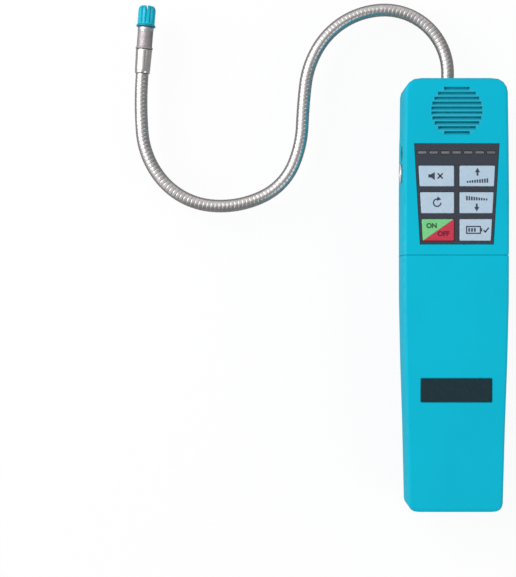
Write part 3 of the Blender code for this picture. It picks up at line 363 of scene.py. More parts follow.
def probeLine():
    # places and headings, two steps a ridge, from inside the housing to the tip's seat
    runs = [(probe["hidden"], 0.0)] + [(length * mm, turn) for length, turn in probe["runs"]]
    count = probe["ridges"] * 2
    spacing = sum(length for length, _ in runs) / count
    x, y, heading = 0.0, probe["bodyEnd"] - probe["hidden"], math.pi / 2
    line = [(x, y, heading)]
    for index in range(count):
        middle = (index + 0.5) * spacing
        passed = 0.0
        for length, turn in runs:
            passed += length
            if middle <= passed:
                break
        change = math.radians(turn) * spacing / length
        x += spacing * math.cos(heading + change / 2)
        y += spacing * math.sin(heading + change / 2)
        heading += change
        line.append((x, y, heading))
    return line, spacing


# Finishes. Colours are linear red, green and blue. A noise is its scale, detail and roughness.
# A grain is scale, detail, strength and height. A pair is where a look begins and is complete.

speakerLow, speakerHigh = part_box("speaker")
grilleMiddle = (speakerLow + speakerHigh) / 2

span = {
    "even": (0.35, 0.65),
    "wide": (0.3, 0.7),
    "sparse": (0.35, 0.7),
    "sparser": (0.35, 0.75),
}


def shellFinish():
    look = {
        "colour": (0.0, 0.441, 0.606),
        "deeper": (0.0, 0.418, 0.580),
        "worn": (0.028, 0.505, 0.66),
        "louvre": (0.036, 0.385, 0.495),
        "slope": (0.0, 0.230, 0.320),
        "cloud": (22.0, 2.0),
        "scuff": (240.0, 6.0, 0.7),
        "scuffAt": (0.68, 0.80),
        "scuffShare": 0.30,
        "sideAt": (26.2 * mm, 27.8 * mm),
        "faceAt": (54.5 * mm, 58.5 * mm),
        "rimLighterAt": (0.42, 0.60),
        "rimLighterShare": 0.5,
        "grilleTo": (13.7 * mm, 14.1 * mm),
        "rowsTo": (12.0 * mm, 12.6 * mm),
        "louvreAt": (50 * mm, 52 * mm),
        "louvreShare": 0.6,
        "slotShadeTo": (58.4 * mm, 59.2 * mm),
        "slotShadeShare": 0.06,
        "roughness": 0.44,
        "cloudRoughness": 0.06,
        "roughScuffAt": (0.62, 0.8),
        "scuffRoughness": 0.08,
        "specular": 0.1,
        "grain": (2600.0, 2.0, 0.35, 0.02 * mm),
    }
    paint = Paint("turquoiseShell")
    x, y, z = paint.axes()
    cloud = paint.noise(*look["cloud"])
    scuff = paint.noise(*look["scuff"])
    colour = paint.mix(ease(cloud, *span["even"]), look["colour"], look["deeper"])
    colour = paint.mix(ease(scuff, *look["scuffAt"]) * look["scuffShare"], colour, look["worn"])
    # the rounded edges along both sides are made lighter in patches where the noise is high
    rim = ease(x.absolute(), *look["sideAt"]) * ease(z, *look["faceAt"])
    rimLighter = rim * ease(scuff, *look["rimLighterAt"]) * look["rimLighterShare"]
    colour = paint.mix(rimLighter, colour, look["worn"])
    row = y - grilleMiddle.y
    onGrille = 1 - ease(reach(x, row), *look["grilleTo"])
    onGrille = onGrille * (1 - ease(row.absolute(), *look["rowsTo"]))
    # painted shade: the louvre blades inside the grille disc are tinted darker and greyer, standing
    # in for the shading of their sloped faces
    bladeShadeMask = onGrille * ease(z, *look["louvreAt"]) * look["louvreShare"]
    # painted shade: below the face, on the sloped walls inside the grille's slots, the colour is
    # darkened
    slotShadeMask = onGrille * (1 - ease(z, *look["slotShadeTo"])) * look["slotShadeShare"]
    colour = paint.mix(bladeShadeMask, colour, look["louvre"])
    colour = paint.mix(slotShadeMask, colour, look["slope"])
    roughness = look["roughness"] + ease(cloud, *span["wide"]) * look["cloudRoughness"]
    roughness = roughness + ease(scuff, *look["roughScuffAt"]) * look["scuffRoughness"]
    return paint.surface(
        Base_Color=colour, Roughness=roughness, Specular_IOR_Level=look["specular"],
        Normal=paint.grain(*look["grain"]),
    )


def tipPlace(paint):
    # distance along the probe's straight end from its seat, and distance from its middle line
    x, y, z = paint.axes()
    seatX, seatY, heading = probeLine()[0][-1]
    across, upward = math.cos(heading), math.sin(heading)
    along = (x - seatX) * across + (y - seatY) * upward
    aside = (y - seatY) * across - (x - seatX) * upward
    return along, reach(aside, z - probe["level"])


def capFinish():
    look = {
        "colour": (0.0, 0.49, 0.65),
        "deeper": (0.0, 0.41, 0.55),
        "groove": (0.0, 0.17, 0.24),
        "cloud": (260.0, 2.0),
        "grooveUnder": (4.25 * mm, 4.75 * mm),
        "grooveTo": (36.6 * mm, 37.0 * mm),
        "grooveShare": 0.6,
        "flangeShadeTo": (27.3 * mm, 27.6 * mm),
        "flangeShadeShare": 0.75,
        "roughness": 0.34,
        "cloudRoughness": 0.1,
        "specular": 0.25,
        "grain": (1500.0, 2.0, 0.2, 0.02 * mm),
    }
    paint = Paint("turquoiseCap")
    along, outward = tipPlace(paint)
    cloud = paint.noise(*look["cloud"])
    colour = paint.mix(ease(cloud, *span["sparse"]), look["colour"], look["deeper"])
    # painted shade: the grooves between the cap's ribs and the flange at its open end, against the
    # collar, are darkened
    inGroove = (1 - ease(outward, *look["grooveUnder"])) * (1 - ease(along, *look["grooveTo"]))
    flangeShade = 1 - ease(along, *look["flangeShadeTo"])
    dark = (inGroove * look["grooveShare"] + flangeShade * look["flangeShadeShare"]).clamped()
    return paint.surface(
        Base_Color=paint.mix(dark, colour, look["groove"]),
        Roughness=look["roughness"] + ease(cloud, *span["wide"]) * look["cloudRoughness"],
        Specular_IOR_Level=look["specular"],
        Normal=paint.grain(*look["grain"]),
    )


def collarFinish():
    # matt knurled metal with a bright plain ring under the cap
    look = {
        "knurled": (0.46, 0.418, 0.430),
        "dull": (0.32, 0.290, 0.300),
        "ring": (0.46, 0.50, 0.52),
        "grime": (1300.0, 3.0),
        "ringFrom": (23.6 * mm, 23.8 * mm),
        "roughness": 0.50,
        "grimeRoughness": 0.08,
        "ringSmoothness": 0.22,
        "metallic": 0.8,
        "grain": (3600.0, 2.0, 0.3, 0.02 * mm),
    }
    paint = Paint("collarMetal")
    along, _ = tipPlace(paint)
    grime = paint.noise(*look["grime"])
    onRing = ease(along, *look["ringFrom"])
    colour = paint.mix(ease(grime, *span["even"]), look["knurled"], look["dull"])
    roughness = look["roughness"] + ease(grime, *span["wide"]) * look["grimeRoughness"]
    return paint.surface(
        Base_Color=paint.mix(onRing, colour, look["ring"]),
        Roughness=roughness - onRing * look["ringSmoothness"],
        Metallic=look["metallic"],
        Normal=paint.grain(*look["grain"]),
    )


keypadLook = {
    "light": (0.020, 0.028, 0.042),
    "dark": (0.038, 0.040, 0.058),
    "speckle": (1400.0, 2.0),
    "roughness": 0.48,
    "speckleRoughness": 0.1,
    "specular": 0.35,
    "grain": (3200.0, 1.0, 0.4, 0.03 * mm),
}
labelLook = {
    "light": (0.008, 0.024, 0.033),
    "dark": (0.013, 0.032, 0.042),
    "speckle": (1200.0, 3.0),
    "roughness": 0.46,
    "speckleRoughness": 0.08,
    "specular": 0.12,
    "grain": (2400.0, 1.0, 0.2, 0.02 * mm),
}
keyLook = {
    "cool": (0.41, 0.55, 0.675),
    "warm": (0.46, 0.565, 0.665),
    "speckled": (0.32, 0.43, 0.54),
    "tint": (90.0, 1.0),
    "speckle": (1100.0, 3.0),
    "speckleShare": 0.5,
    "roughness": 0.5,
    "speckleRoughness": 0.1,
    "specular": 0.35,
    "grain": (2800.0, 1.0, 0.35, 0.03 * mm),
    "green": ((0.18, 0.59, 0.23), (0.14, 0.48, 0.20)),
    "red": ((0.54, 0.026, 0.060), (0.42, 0.022, 0.050)),
    "line": (0.13, 0.10, 0.07),
    "lineShare": 0.6,
    "turnsAt": (-0.12 * mm, 0.12 * mm),
    "lineTo": (0.12 * mm, 0.30 * mm),
}


def filmSurface(paint, look, colour, speckle):
    return paint.surface(
        Base_Color=colour,
        Roughness=look["roughness"] + speckle * look["speckleRoughness"],
        Specular_IOR_Level=look["specular"],
        Normal=paint.grain(*look["grain"]),
    )


def filmFinish(name, look):
    paint = Paint(name)
    speckle = paint.noise(*look["speckle"])
    colour = paint.mix(ease(speckle, *span["sparse"]), look["light"], look["dark"])
    return filmSurface(paint, look, colour, speckle)


def keyFinish():
    look = keyLook
    paint = Paint("keyGrey")
    speckle = paint.noise(*look["speckle"])
    tint = paint.noise(*look["tint"])
    colour = paint.mix(ease(tint, *span["wide"]), look["cool"], look["warm"])
    speckled = ease(speckle, *span["sparser"]) * look["speckleShare"]
    return filmSurface(paint, look, paint.mix(speckled, colour, look["speckled"]), speckle)


def powerKeyFinish(corners):
    # green above the diagonal from the lower left corner to the upper right one, red below it
    look = keyLook
    paint = Paint("keyGreenRed")
    (lowX, lowY), (highX, highY) = corners
    x, y, _ = paint.axes()
    slope = (highY - lowY) / (highX - lowX)
    above = (y - lowY) - (x - lowX) * slope
    speckle = paint.noise(*look["speckle"])
    green = paint.mix(ease(speckle, *span["sparser"]), *look["green"])
    red = paint.mix(ease(speckle, *span["sparser"]), *look["red"])
    colour = paint.mix(ease(above, *look["turnsAt"]), red, green)
    onLine = (1 - ease(above.absolute(), *look["lineTo"])) * look["lineShare"]
    return filmSurface(paint, look, paint.mix(onLine, colour, look["line"]), speckle)


def lightBarFinish(name, tint):
    look = {
        "cloud": (900.0, 2.0),
        "dull": 0.62,
        "roughness": 0.22,
        "cloudRoughness": 0.1,
        "specular": 0.5,
    }
    paint = Paint(name)
    cloud = paint.noise(*look["cloud"])
    dull = tuple(look["dull"] * value for value in tint)
    return paint.surface(
        Base_Color=paint.mix(ease(cloud, *span["wide"]), tint, dull),
        Roughness=look["roughness"] + cloud * look["cloudRoughness"],
        Specular_IOR_Level=look["specular"],
    )


def cellFinish(name, low, high):
    # a dark sleeve between bare metal ends, with one pale ring near the upper end
    look = {
        "sleeve": ((0.030, 0.034, 0.044), (0.042, 0.046, 0.058)),
        "ring": (0.55, 0.55, 0.52),
        "bare": (0.62, 0.61, 0.60),
        "cloud": (300.0, 3.0),
        "sleeveFrom": (1.0 * mm, 1.3 * mm),
        "sleeveTo": (-3.4 * mm, -3.1 * mm),
        "ringFrom": (-8.5 * mm, -8.3 * mm),
        "ringTo": (-6.8 * mm, -6.6 * mm),
        "roughness": 0.24,
        "cloudRoughness": 0.1,
    }
    paint = Paint(name)
    _, y, _ = paint.axes()

    def past(end, distances):
        return ease(y, *(end + distance for distance in distances))

    sleeved = past(low, look["sleeveFrom"]) * (1 - past(high, look["sleeveTo"]))
    ring = past(high, look["ringFrom"]) * (1 - past(high, look["ringTo"]))
    bare = 1 - sleeved
    cloud = paint.noise(*look["cloud"])
    colour = paint.mix(ease(cloud, *span["even"]), *look["sleeve"])
    colour = paint.mix(ring, colour, look["ring"])
    return paint.surface(
        Base_Color=paint.mix(bare, colour, look["bare"]),
        Roughness=look["roughness"] + cloud * look["cloudRoughness"],
        Metallic=bare,
    )


plainLook = {
    "detail": 3.0,
    "cloudRoughness": 0.08,
    "grainScale": 4,
    "grain": (2.0, 0.2, 0.02 * mm),
}

# name, two colours, roughness, metallic, scale of the noise and specular level
plain = {
    "ink": ("signInk", (0.030, 0.036, 0.060), (0.050, 0.057, 0.086), 0.5, 0.0, 1500.0, 0.3),
    "inkGreen": ("signInkGreen", (0.02, 0.085, 0.03), (0.03, 0.12, 0.04), 0.5, 0.0, 500.0, 0.3),
    "inkRed": ("signInkRed", (0.11, 0.006, 0.018), (0.15, 0.008, 0.024), 0.5, 0.0, 500.0, 0.3),
    "gooseneck": (
        "windingSteel", (0.57, 0.550, 0.545), (0.46, 0.442, 0.437), 0.26, 1.0, 420.0, 0.5,
    ),
    "ferrule": ("ferruleSteel", (0.74, 0.715, 0.69), (0.65, 0.625, 0.60), 0.17, 1.0, 300.0, 0.5),
    "steel": ("platedSteel", (0.62, 0.61, 0.60), (0.50, 0.49, 0.48), 0.3, 1.0, 600.0, 0.5),
    "nickel": ("brightNickel", (0.86, 0.87, 0.87), (0.78, 0.79, 0.79), 0.2, 0.55, 600.0, 0.5),
    "brass": ("turnedBrass", (0.55, 0.40, 0.18), (0.45, 0.32, 0.14), 0.3, 1.0, 500.0, 0.5),
    "cloth": ("speakerCloth", (0.0, 0.52, 0.68), (0.0, 0.44, 0.58), 0.7, 0.0, 900.0, 0.1),
    "black": (
        "blackPlastic", (0.020, 0.020, 0.023), (0.032, 0.032, 0.036), 0.42, 0.0, 500.0, 0.5,
    ),
    "board": ("boardGreen", (0.010, 0.11, 0.045), (0.014, 0.15, 0.06), 0.4, 0.0, 500.0, 0.5),
    "silicone": ("siliconeTube", (0.55, 0.53, 0.47), (0.48, 0.46, 0.41), 0.45, 0.0, 500.0, 0.5),
}


def plainFinish(name, light, dark, roughness, metallic, scale, specular):
    paint = Paint(name)
    cloud = paint.noise(scale, plainLook["detail"])
    return paint.surface(
        Base_Color=paint.mix(ease(cloud, *span["even"]), light, dark),
        Roughness=roughness + ease(cloud, *span["wide"]) * plainLook["cloudRoughness"],
        Metallic=metallic,
        Specular_IOR_Level=specular,
        Normal=paint.grain(scale * plainLook["grainScale"], *plainLook["grain"]),
    )


finishes = {
    "shell": shellFinish(),
    "cap": capFinish(),
    "keypad": filmFinish("keypadFilm", keypadLook),
    "key": keyFinish(),
    "label": filmFinish("labelSlate", labelLook),
    "collar": collarFinish(),
}
for finish, values in plain.items():
    finishes[finish] = plainFinish(*values)
print("finishes made")


# Camera, light and floor, in metres

view = {
    "place": (-104.9 * mm, 3.7 * mm, 860 * mm),
    "lens": 94.71,
    "sensor": 36.0,
    "clip": 0.01,
}


def makeCamera():
    data = bpy.data.cameras.new("camera")
    camera = bpy.data.objects.new("camera", data)
    bpy.context.scene.collection.objects.link(camera)
    data.lens = view["lens"]
    data.sensor_width = view["sensor"]
    data.sensor_fit = "AUTO"
    data.clip_start = view["clip"]
    camera.location = view["place"]
    bpy.context.scene.camera = camera


studio = {
    "world": 0.62,
    "bright": 1.0,
    "dark": 0.30,
    "turnAt": (-0.05, 0.20),
    "turnLean": 0.8,
    "white": (1.0, 1.0, 1.0),
    "lampsAim": (-0.05, 0.0, 0.02),
    "key": {"power": 9.0, "size": (0.9, 0.9), "place": (-0.85, 0.35, 0.75)},
    "fill": {"power": 2.4, "size": (0.8, 0.8), "place": (0.7, -0.4, 0.8)},
    "floor": (0.86, 0.86, 0.86),
    "floorInMetal": (0.33, 0.325, 0.32),
    "floorGlow": 0.9,
    "floorSize": 12,
    "floorLevel": -0.2 * mm,
}


def makeLamp(name, power, size, place):
    data = bpy.data.lights.new(name, "AREA")
    data.shape = "RECTANGLE"
    data.size, data.size_y = size
    data.energy = power
    lamp = bpy.data.objects.new(name, data)
    bpy.context.scene.collection.objects.link(lamp)
    lamp.location = place
    aim = Vector(studio["lampsAim"]) - Vector(place)
    lamp.rotation_mode = "QUATERNION"
    lamp.rotation_quaternion = aim.to_track_quat("-Z", "Y")


def makeWorld():
    # white to the camera, plain for the light, and from bright to dark in mirroring metal
    world = bpy.data.worlds.new("studio")
    bpy.context.scene.world = world
    paint = Paint("studio", world)
    cameraRay, glossyRay = paint.rays()
    across, along, _ = paint.split(paint.node("ShaderNodeTexCoord", {}))
    turned = ease(across - along * studio["turnLean"], *studio["turnAt"])
    level = turned * (studio["dark"] - studio["bright"]) + studio["bright"]
    shown = level * glossyRay + (1 - glossyRay) * studio["world"]
    strength = shown * (1 - cameraRay) + cameraRay
    backdrop = paint.node("ShaderNodeBackground", {}, studio["white"], strength)
    paint.node("ShaderNodeOutputWorld", {}, backdrop)


def makeFloor():
    deselectAll()
    level = (0, 0, studio["floorLevel"])
    bpy.ops.mesh.primitive_plane_add(size=studio["floorSize"], location=level)
    floor = settle(newest("floor"))
    paint = Paint("paleFloor")
    cameraRay, glossyRay = paint.rays()
    matt = paint.node("ShaderNodeBsdfDiffuse", {}, studio["floor"])
    inMetal = paint.node("ShaderNodeBsdfDiffuse", {}, studio["floorInMetal"])
    glow = paint.node("ShaderNodeEmission", {}, studio["white"], 1.0)
    seen = paint.node("ShaderNodeMixShader", {}, glossyRay, matt, inMetal)
    mixed = paint.node("ShaderNodeMixShader", {}, cameraRay * studio["floorGlow"], seen, glow)
    paint.node("ShaderNodeOutputMaterial", {}, mixed)
    floor.data.materials.append(paint.owner)


makeCamera()
makeLamp("key", **studio["key"])
makeLamp("fill", **studio["fill"])
makeWorld()
makeFloor()
bpy.context.scene.view_settings.view_transform = "Standard"
print("camera, light and floor made")


# The moulded shells: the solids' own form, with their sharp edges broken

shellEdge = {
    "width": 0.2 * mm,
    "angle": 50,
}


def shell(nodeName, body):
    piece = copyOf(nodeName, nodeName + "Moulded")
    brokenEdges(piece, shellEdge["width"], shellEdge["angle"])
    place(piece, body, "shell_turquoise", finishes["shell"], [nodeName])


seamLap = {
    "fromCover": 0.42 * mm,
    "length": 1.5 * mm,
    "drawnIn": 0.5 * mm,
    "towardsCover": 0.35 * mm,
}


def makeSeamLap():
    # a slice of the upper shell's end, drawn in and let out, so that the seam is a shallow groove
    piece = copyOf("front_housing", "seamLap")
    low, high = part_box("front_housing")
    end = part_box("battery_cover")[1].y + seamLap["fromCover"]
    for y, way in ((end, -1), (end + seamLap["length"], 1)):
        editAll(piece)
        bpy.ops.mesh.bisect(
            plane_co=(0, y, 0), plane_no=(0, way, 0), use_fill=True, clear_outer=True
        )
    bpy.ops.mesh.select_all(action="SELECT")
    across = 1 - seamLap["drawnIn"] / high.x
    upward = 1 - seamLap["drawnIn"] / (high.z - low.z)
    bpy.ops.transform.resize(value=(across, 1, upward), center_override=(0, end, low.z))
    bpy.ops.transform.translate(value=(0, -seamLap["towardsCover"], 0))
    done()
    tidyMesh(piece)
    smooth(piece)
    place(piece, "housing", "shell_turquoise", finishes["shell"])


grilleCloth = {
    "radius": 14.0 * mm,
    "thickness": 0.2 * mm,
    "aboveSpeaker": 0.15 * mm,
    "sides": 48,
}


def makeGrilleCloth():
    # a dust cloth between the speaker and the louvres
    deselectAll()
    bpy.ops.mesh.primitive_circle_add(
        vertices=grilleCloth["sides"], radius=grilleCloth["radius"], fill_type="NGON",
        location=(grilleMiddle.x, grilleMiddle.y, speakerHigh.z + grilleCloth["aboveSpeaker"]),
    )
    cloth = settle(newest("grilleCloth"))
    editAll(cloth)
    extrude(0, 0, grilleCloth["thickness"])
    done()
    tidyMesh(cloth)
    smooth(cloth)
    place(cloth, "housing", slotOf["speaker"], finishes["cloth"])


# the lap is a copy of a node that the shell hides, so it comes first
makeSeamLap()
makeGrilleCloth()
shell("front_housing", "housing")
shell("battery_cover", "cover")
shell("rear_housing", "housing")
print("shells made")


# The probe's winding

def probeGuide():
    line, spacing = probeLine()
    data = bpy.data.curves.new("probeGuide", "CURVE")
    data.dimensions = "3D"
    spline = data.splines.new("POLY")
    spline.points.add(len(line) - 1)
    for point, (x, y, _) in zip(spline.points, line):
        point.co = (x, y, probe["level"], 1)
    guide = bpy.data.objects.new("probeGuide", data)
    bpy.context.scene.collection.objects.link(guide)
    return guide, spacing * 2


def winding(name, guide, pitch, first, count):
    # one ridge, from valley to valley, repeated and bent along the guide
    start, end = first * pitch, (first + count) * pitch
    valley = probe["radius"] - probe["ridgeDepth"]
    deselectAll()
    bpy.ops.mesh.primitive_circle_add(
        vertices=probe["sides"], radius=valley, location=(start, 0, 0),
        rotation=(0, math.pi / 2, 0),
    )
    ridge = settle(newest(name))
    editAll(ridge)
    now, nowRadius = 0.0, valley
    for share, sink in probe["ridge"]:
        radius = probe["radius"] - sink * probe["ridgeDepth"]
        extrude((share - now) * pitch, 0, 0)
        growth = radius / nowRadius
        middle = (start + share * pitch, 0, 0)
        bpy.ops.transform.resize(value=(1, growth, growth), center_override=middle)
        now, nowRadius = share, radius
    done()
    rows = ridge.modifiers.new("rows", "ARRAY")
    rows.use_relative_offset = False
    rows.use_constant_offset = True
    rows.constant_offset_displace = (pitch, 0, 0)
    rows.count = count
    rows.use_merge_vertices = True
    rows.merge_threshold = probe["ringsApart"]
    applyAll(ridge)
    for x in (start, end):
        pick(ridge, "EDGE", lambda middle: abs(middle.x - x) < probe["ringsApart"])
        bpy.ops.mesh.edge_face_add()
        done()
    bent = ridge.modifiers.new("bent", "CURVE")
    bent.object = guide
    bent.deform_axis = "POS_X"
    applyAll(ridge)
    tidyMesh(ridge, merging["fine"])
    return smooth(ridge, probe["smoothTo"])


def makeProbe():
    guide, pitch = probeGuide()
    inRoot = probe["rootRidges"]
    root = winding("gooseneckRoot", guide, pitch, 0, inRoot)
    rest = winding("gooseneckWinding", guide, pitch, inRoot, probe["ridges"] - inRoot)
    bpy.data.objects.remove(guide, do_unlink=True)
    for piece in (root, rest):
        piece.data.materials.clear()
        piece.data.materials.append(finishes["gooseneck"])
    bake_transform(root)
    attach(rest, "probe")
    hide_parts("gooseneck")
    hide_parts("gooseneck")


makeProbe()
print("probe made")


# The probe's tip, in millimetres from its seat. Each ring is a distance and a radius.

tip = {
    "gap": 0.3,
    "sides": 72,
    "ferrule": (
        (0.0, 3.7), (0.12, 3.95), (0.4, 4.1), (1.1, 4.15), (1.3, 4.0), (1.55, 4.0), (1.75, 4.18),
        (12.5, 4.45), (12.9, 4.5), (13.1, 4.42), (13.2, 4.2),
    ),
    "collarTop": (
        (22.6, 3.0), (25.6, 3.0), (25.6, 4.1), (25.5, 4.3), (25.3, 4.38), (23.8, 4.38), (23.6, 4.2),
    ),
    "collarFoot": (
        (14.75, 4.2), (14.6, 4.5), (14.4, 4.72), (13.8, 4.75), (13.6, 4.65), (13.5, 4.3),
    ),
    "collarSmoothTo": 22,
    "knurlFrom": 23.45,
    "knurlTo": 14.9,
    "knurlRows": 24,
    "knurlMargin": 0.2,
    "knurlRadius": 4.28,
    "knurlDepth": 0.15,
    "cap": (
        (35.4, 3.5), (25.9, 3.5), (25.9, 5.1), (26.0, 5.25), (26.2, 5.3), (26.6, 5.3), (26.8, 5.22),
        (26.95, 4.85), (27.3, 4.74), (28.2, 4.74), (34.6, 4.80), (35.6, 4.70), (36.4, 4.44),
        (37.0, 4.02), (37.35, 3.5), (37.5, 2.8), (37.5, 0.5),
    ),
    "capSides": 96,
    "capSmoothTo": 32,
    "capRibs": 12,
    "capGrooves": ((0, 0.56), (1, 0.30), (-1, 0.30)),
    "groovesOutside": 3.6,
    "groovesFrom": 27.8,
    "slot": {"at": 37.5, "width": 1.0, "across": 12, "depth": 2.3},
}


def lathe(name, rings, sides):
    # a closed turned form along Z
    deselectAll()
    now, nowRadius = rings[0]
    bpy.ops.mesh.primitive_circle_add(
        vertices=sides, radius=nowRadius * mm, fill_type="NGON", location=(0, 0, now * mm)
    )
    piece = settle(newest(name))
    editAll(piece)
    for distance, radius in rings[1:]:
        extrude(0, 0, (distance - now) * mm)
        growth = radius / nowRadius
        middle = (0, 0, distance * mm)
        bpy.ops.transform.resize(value=(growth, growth, 1), center_override=middle)
        now, nowRadius = distance, radius
    done()
    return tidyMesh(piece, merging["fine"])


def sideOf(co, sides):
    return round(math.atan2(co.y, co.x) * sides / (2 * math.pi))


def pushIn(piece, depth, test):
    pick(piece, "VERT", test)
    bpy.ops.transform.shrink_fatten(value=-depth * mm)
    done()


def ontoProbe(piece):
    x, y, heading = probeLine()[0][-1]
    upright = Matrix.Rotation(heading - math.pi / 2, 4, "Z") @ Matrix.Rotation(-math.pi / 2, 4, "X")
    seat = Matrix.Translation((x, y, probe["level"])) @ upright
    piece.matrix_world = seat @ Matrix.Translation((0, 0, tip["gap"] * mm))
    return settle(piece)


def makeFerrule():
    ferrule = smooth(lathe("ferruleSleeve", tip["ferrule"], tip["sides"]))
    place(ontoProbe(ferrule), "probe", "ferrule_steel", finishes["ferrule"], ["tip_ferrule"])


def makeCollar():
    top, count = tip["knurlFrom"], tip["knurlRows"]
    pitch = (tip["knurlTo"] - top) / count
    knurled = tuple((top + index * pitch, tip["knurlRadius"]) for index in range(count + 1))
    rings = tip["collarTop"] + knurled + tip["collarFoot"]
    collar = lathe("knurledCollar", rings, tip["sides"])

    def inHollow(co):
        row = (co.z / mm - top) / pitch
        if not -tip["knurlMargin"] <= row <= count + tip["knurlMargin"]:
            return False
        return (round(row) + sideOf(co, tip["sides"])) % 2 == 1

    pushIn(collar, tip["knurlDepth"], inHollow)
    smooth(collar, tip["collarSmoothTo"])
    place(ontoProbe(collar), "probe", "collar_metal", finishes["collar"], ["tip_collar"])


def makeCap():
    cap = lathe("ribbedCap", tip["cap"], tip["capSides"])
    group = tip["capSides"] // tip["capRibs"]

    def inGroove(offset):
        def test(co):
            side = sideOf(co, tip["capSides"]) % group
            outside = math.hypot(co.x, co.y) > tip["groovesOutside"] * mm
            return side == offset % group and outside and co.z > tip["groovesFrom"] * mm
        return test

    for offset, depth in tip["capGrooves"]:
        pushIn(cap, depth, inGroove(offset))
    cross = tip["slot"]
    deselectAll()
    bpy.ops.mesh.primitive_cube_add(size=1, location=(0, 0, cross["at"] * mm))
    slot = newest("capSlot")
    slot.scale = (cross["width"] * mm, cross["across"] * mm, 2 * cross["depth"] * mm)
    cut(cap, settle(slot))
    tidyMesh(cap, merging["fine"])
    smooth(cap, tip["capSmoothTo"])
    place(ontoProbe(cap), "tip_cap", "cap_turquoise", finishes["cap"], ["tip_protector"])


makeFerrule()
makeCollar()
makeCap()
print("tip made")


# Small solids with their edges broken: keypad, keys, lights, label, sockets and outer screws.
# Each has its finish, the width of its edge in millimetres and the least angle of a broken edge.

softEdges = {
    "keypad_overlay": ("keypad", 0.10, 40),
    "label_plate": ("label", 0.12, 40),
    "mute_key": ("key", 0.10, 30),
    "reset_key": ("key", 0.10, 30),
    "sensitivity_up_key": ("key", 0.10, 30),
    "sensitivity_down_key": ("key", 0.10, 30),
    "battery_test_key": ("key", 0.10, 30),
    "power_key": ("power", 0.10, 30),
    "earphone_jack": ("black", 0.20, 40),
    "power_jack": ("nickel", 0.25, 40),
    "cover_screw": ("steel", 0.12, 30),
}
for number in range(1, 5):
    softEdges[f"housing_screw_{number}"] = ("steel", 0.12, 30)

lightTints = (
    (0.185, 0.195, 0.205),
    (0.165, 0.165, 0.185),
    (0.175, 0.190, 0.150),
    (0.175, 0.170, 0.180),
    (0.165, 0.155, 0.185),
    (0.165, 0.172, 0.155),
    (0.140, 0.142, 0.155),
)
for number, tint in enumerate(lightTints, 1):
    finishes[f"light{number}"] = lightBarFinish(f"lightBar{number}", tint)
    softEdges[f"led_{number}"] = (f"light{number}", 0.18, 40)

diagonal = {
    "left": 1.2 * mm,
    "right": 0.7 * mm,
    "ends": 0.5 * mm,
}
keyLow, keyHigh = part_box("power_key")
finishes["power"] = powerKeyFinish((
    (keyLow.x + diagonal["left"], keyLow.y + diagonal["ends"]),
    (keyHigh.x - diagonal["right"], keyHigh.y - diagonal["ends"]),
))

for nodeName, (finish, width, angle) in softEdges.items():
    words = nodeName.split("_")
    name = words[0] + "".join(word.capitalize() for word in words[1:])
    piece = brokenEdges(copyOf(nodeName, name), width * mm, angle)
    place(piece, bodyOf[nodeName], slotOf[nodeName], finishes[finish], [nodeName])
print("small solids made")


# Signs printed on the keys, in millimetres from the key's middle and in degrees.
# A stroke is place, width, height and turn, a wedge place, radius and turn, a horn place, width
# and its two heights, and a bow place, radius and its two angles.

sign = {
    "thickness": 0.05 * mm,
    "sunk": 0.02 * mm,
    "line": 0.7,
    "bowSides": 48,
    "letters": 3.5,
    "fatter": 0.18,
}

muteSign = {
    "magnet": (-3.5, 0, 1.5, 1.7),
    "horn": (-1.85, 0, 2.0, 1.7, 4.2),
    "cross": ((2.0, 0, 0.75, 3.9, 45), (2.0, 0, 0.75, 3.9, -45)),
}
resetSign = {
    "bow": (0, 0, 2.3, 75, 370),
    "head": (0.75, 2.0, 1.45, -100),
}
sensitivitySigns = {
    "upArrow": 1.9,
    "upRamp": -3.6,
    "downArrow": -2.2,
    "downRamp": 1.2,
    "bars": 9,
    "barEvery": 1.3,
    "barWidth": 0.85,
    "barLeast": 1.0,
    "barStep": 0.17,
    "shaft": (1.0, 1.9),
    "shaftDown": 0.8,
    "head": 1.6,
    "headUp": 0.85,
}
batterySign = {
    "frame": (
        (-1.3, 1.8, 7.9, 0.65), (-1.3, -1.8, 7.9, 0.65),
        (-4.92, 0, 0.65, 3.0), (2.32, 0, 0.65, 3.0), (2.95, 0, 0.65, 1.7),
    ),
    "charge": ((-3.6, 0, 0.95, 1.9), (-2.1, 0, 0.95, 1.9), (-0.6, 0, 0.95, 1.9)),
    "tick": ((4.55, -0.75, 0.75, 1.7, 45), (5.75, -0.05, 0.75, 3.2, -38)),
}
keyWords = {
    "onWord": ("ON", -3.3, 2.1, "inkGreen"),
    "offWord": ("OFF", 2.9, -2.1, "inkRed"),
}


def stroke(x, y, width, height, turn=0.0):
    deselectAll()
    bpy.ops.mesh.primitive_plane_add(
        size=1, location=(x * mm, y * mm, 0), rotation=(0, 0, math.radians(turn))
    )
    bar = newest("stroke")
    bar.scale = (width * mm, height * mm, 1)
    return settle(bar)


def strokes(*bars):
    return [stroke(*bar) for bar in bars]


def wedge(x, y, radius, turn=0.0):
    # a triangle that points up
    deselectAll()
    bpy.ops.mesh.primitive_circle_add(
        vertices=3, radius=radius * mm, fill_type="NGON", location=(x * mm, y * mm, 0),
        rotation=(0, 0, math.radians(turn)),
    )
    return settle(newest("wedge"))


def horn(x, y, width, small, large):
    # a plate that widens to the right
    piece = stroke(x, y, width, large)
    pick(piece, "EDGE", lambda middle: middle.x < (x - width / 4) * mm)
    middle = (x * mm, y * mm, 0)
    bpy.ops.transform.resize(value=(1, small / large, 1), center_override=middle)
    done()
    return piece


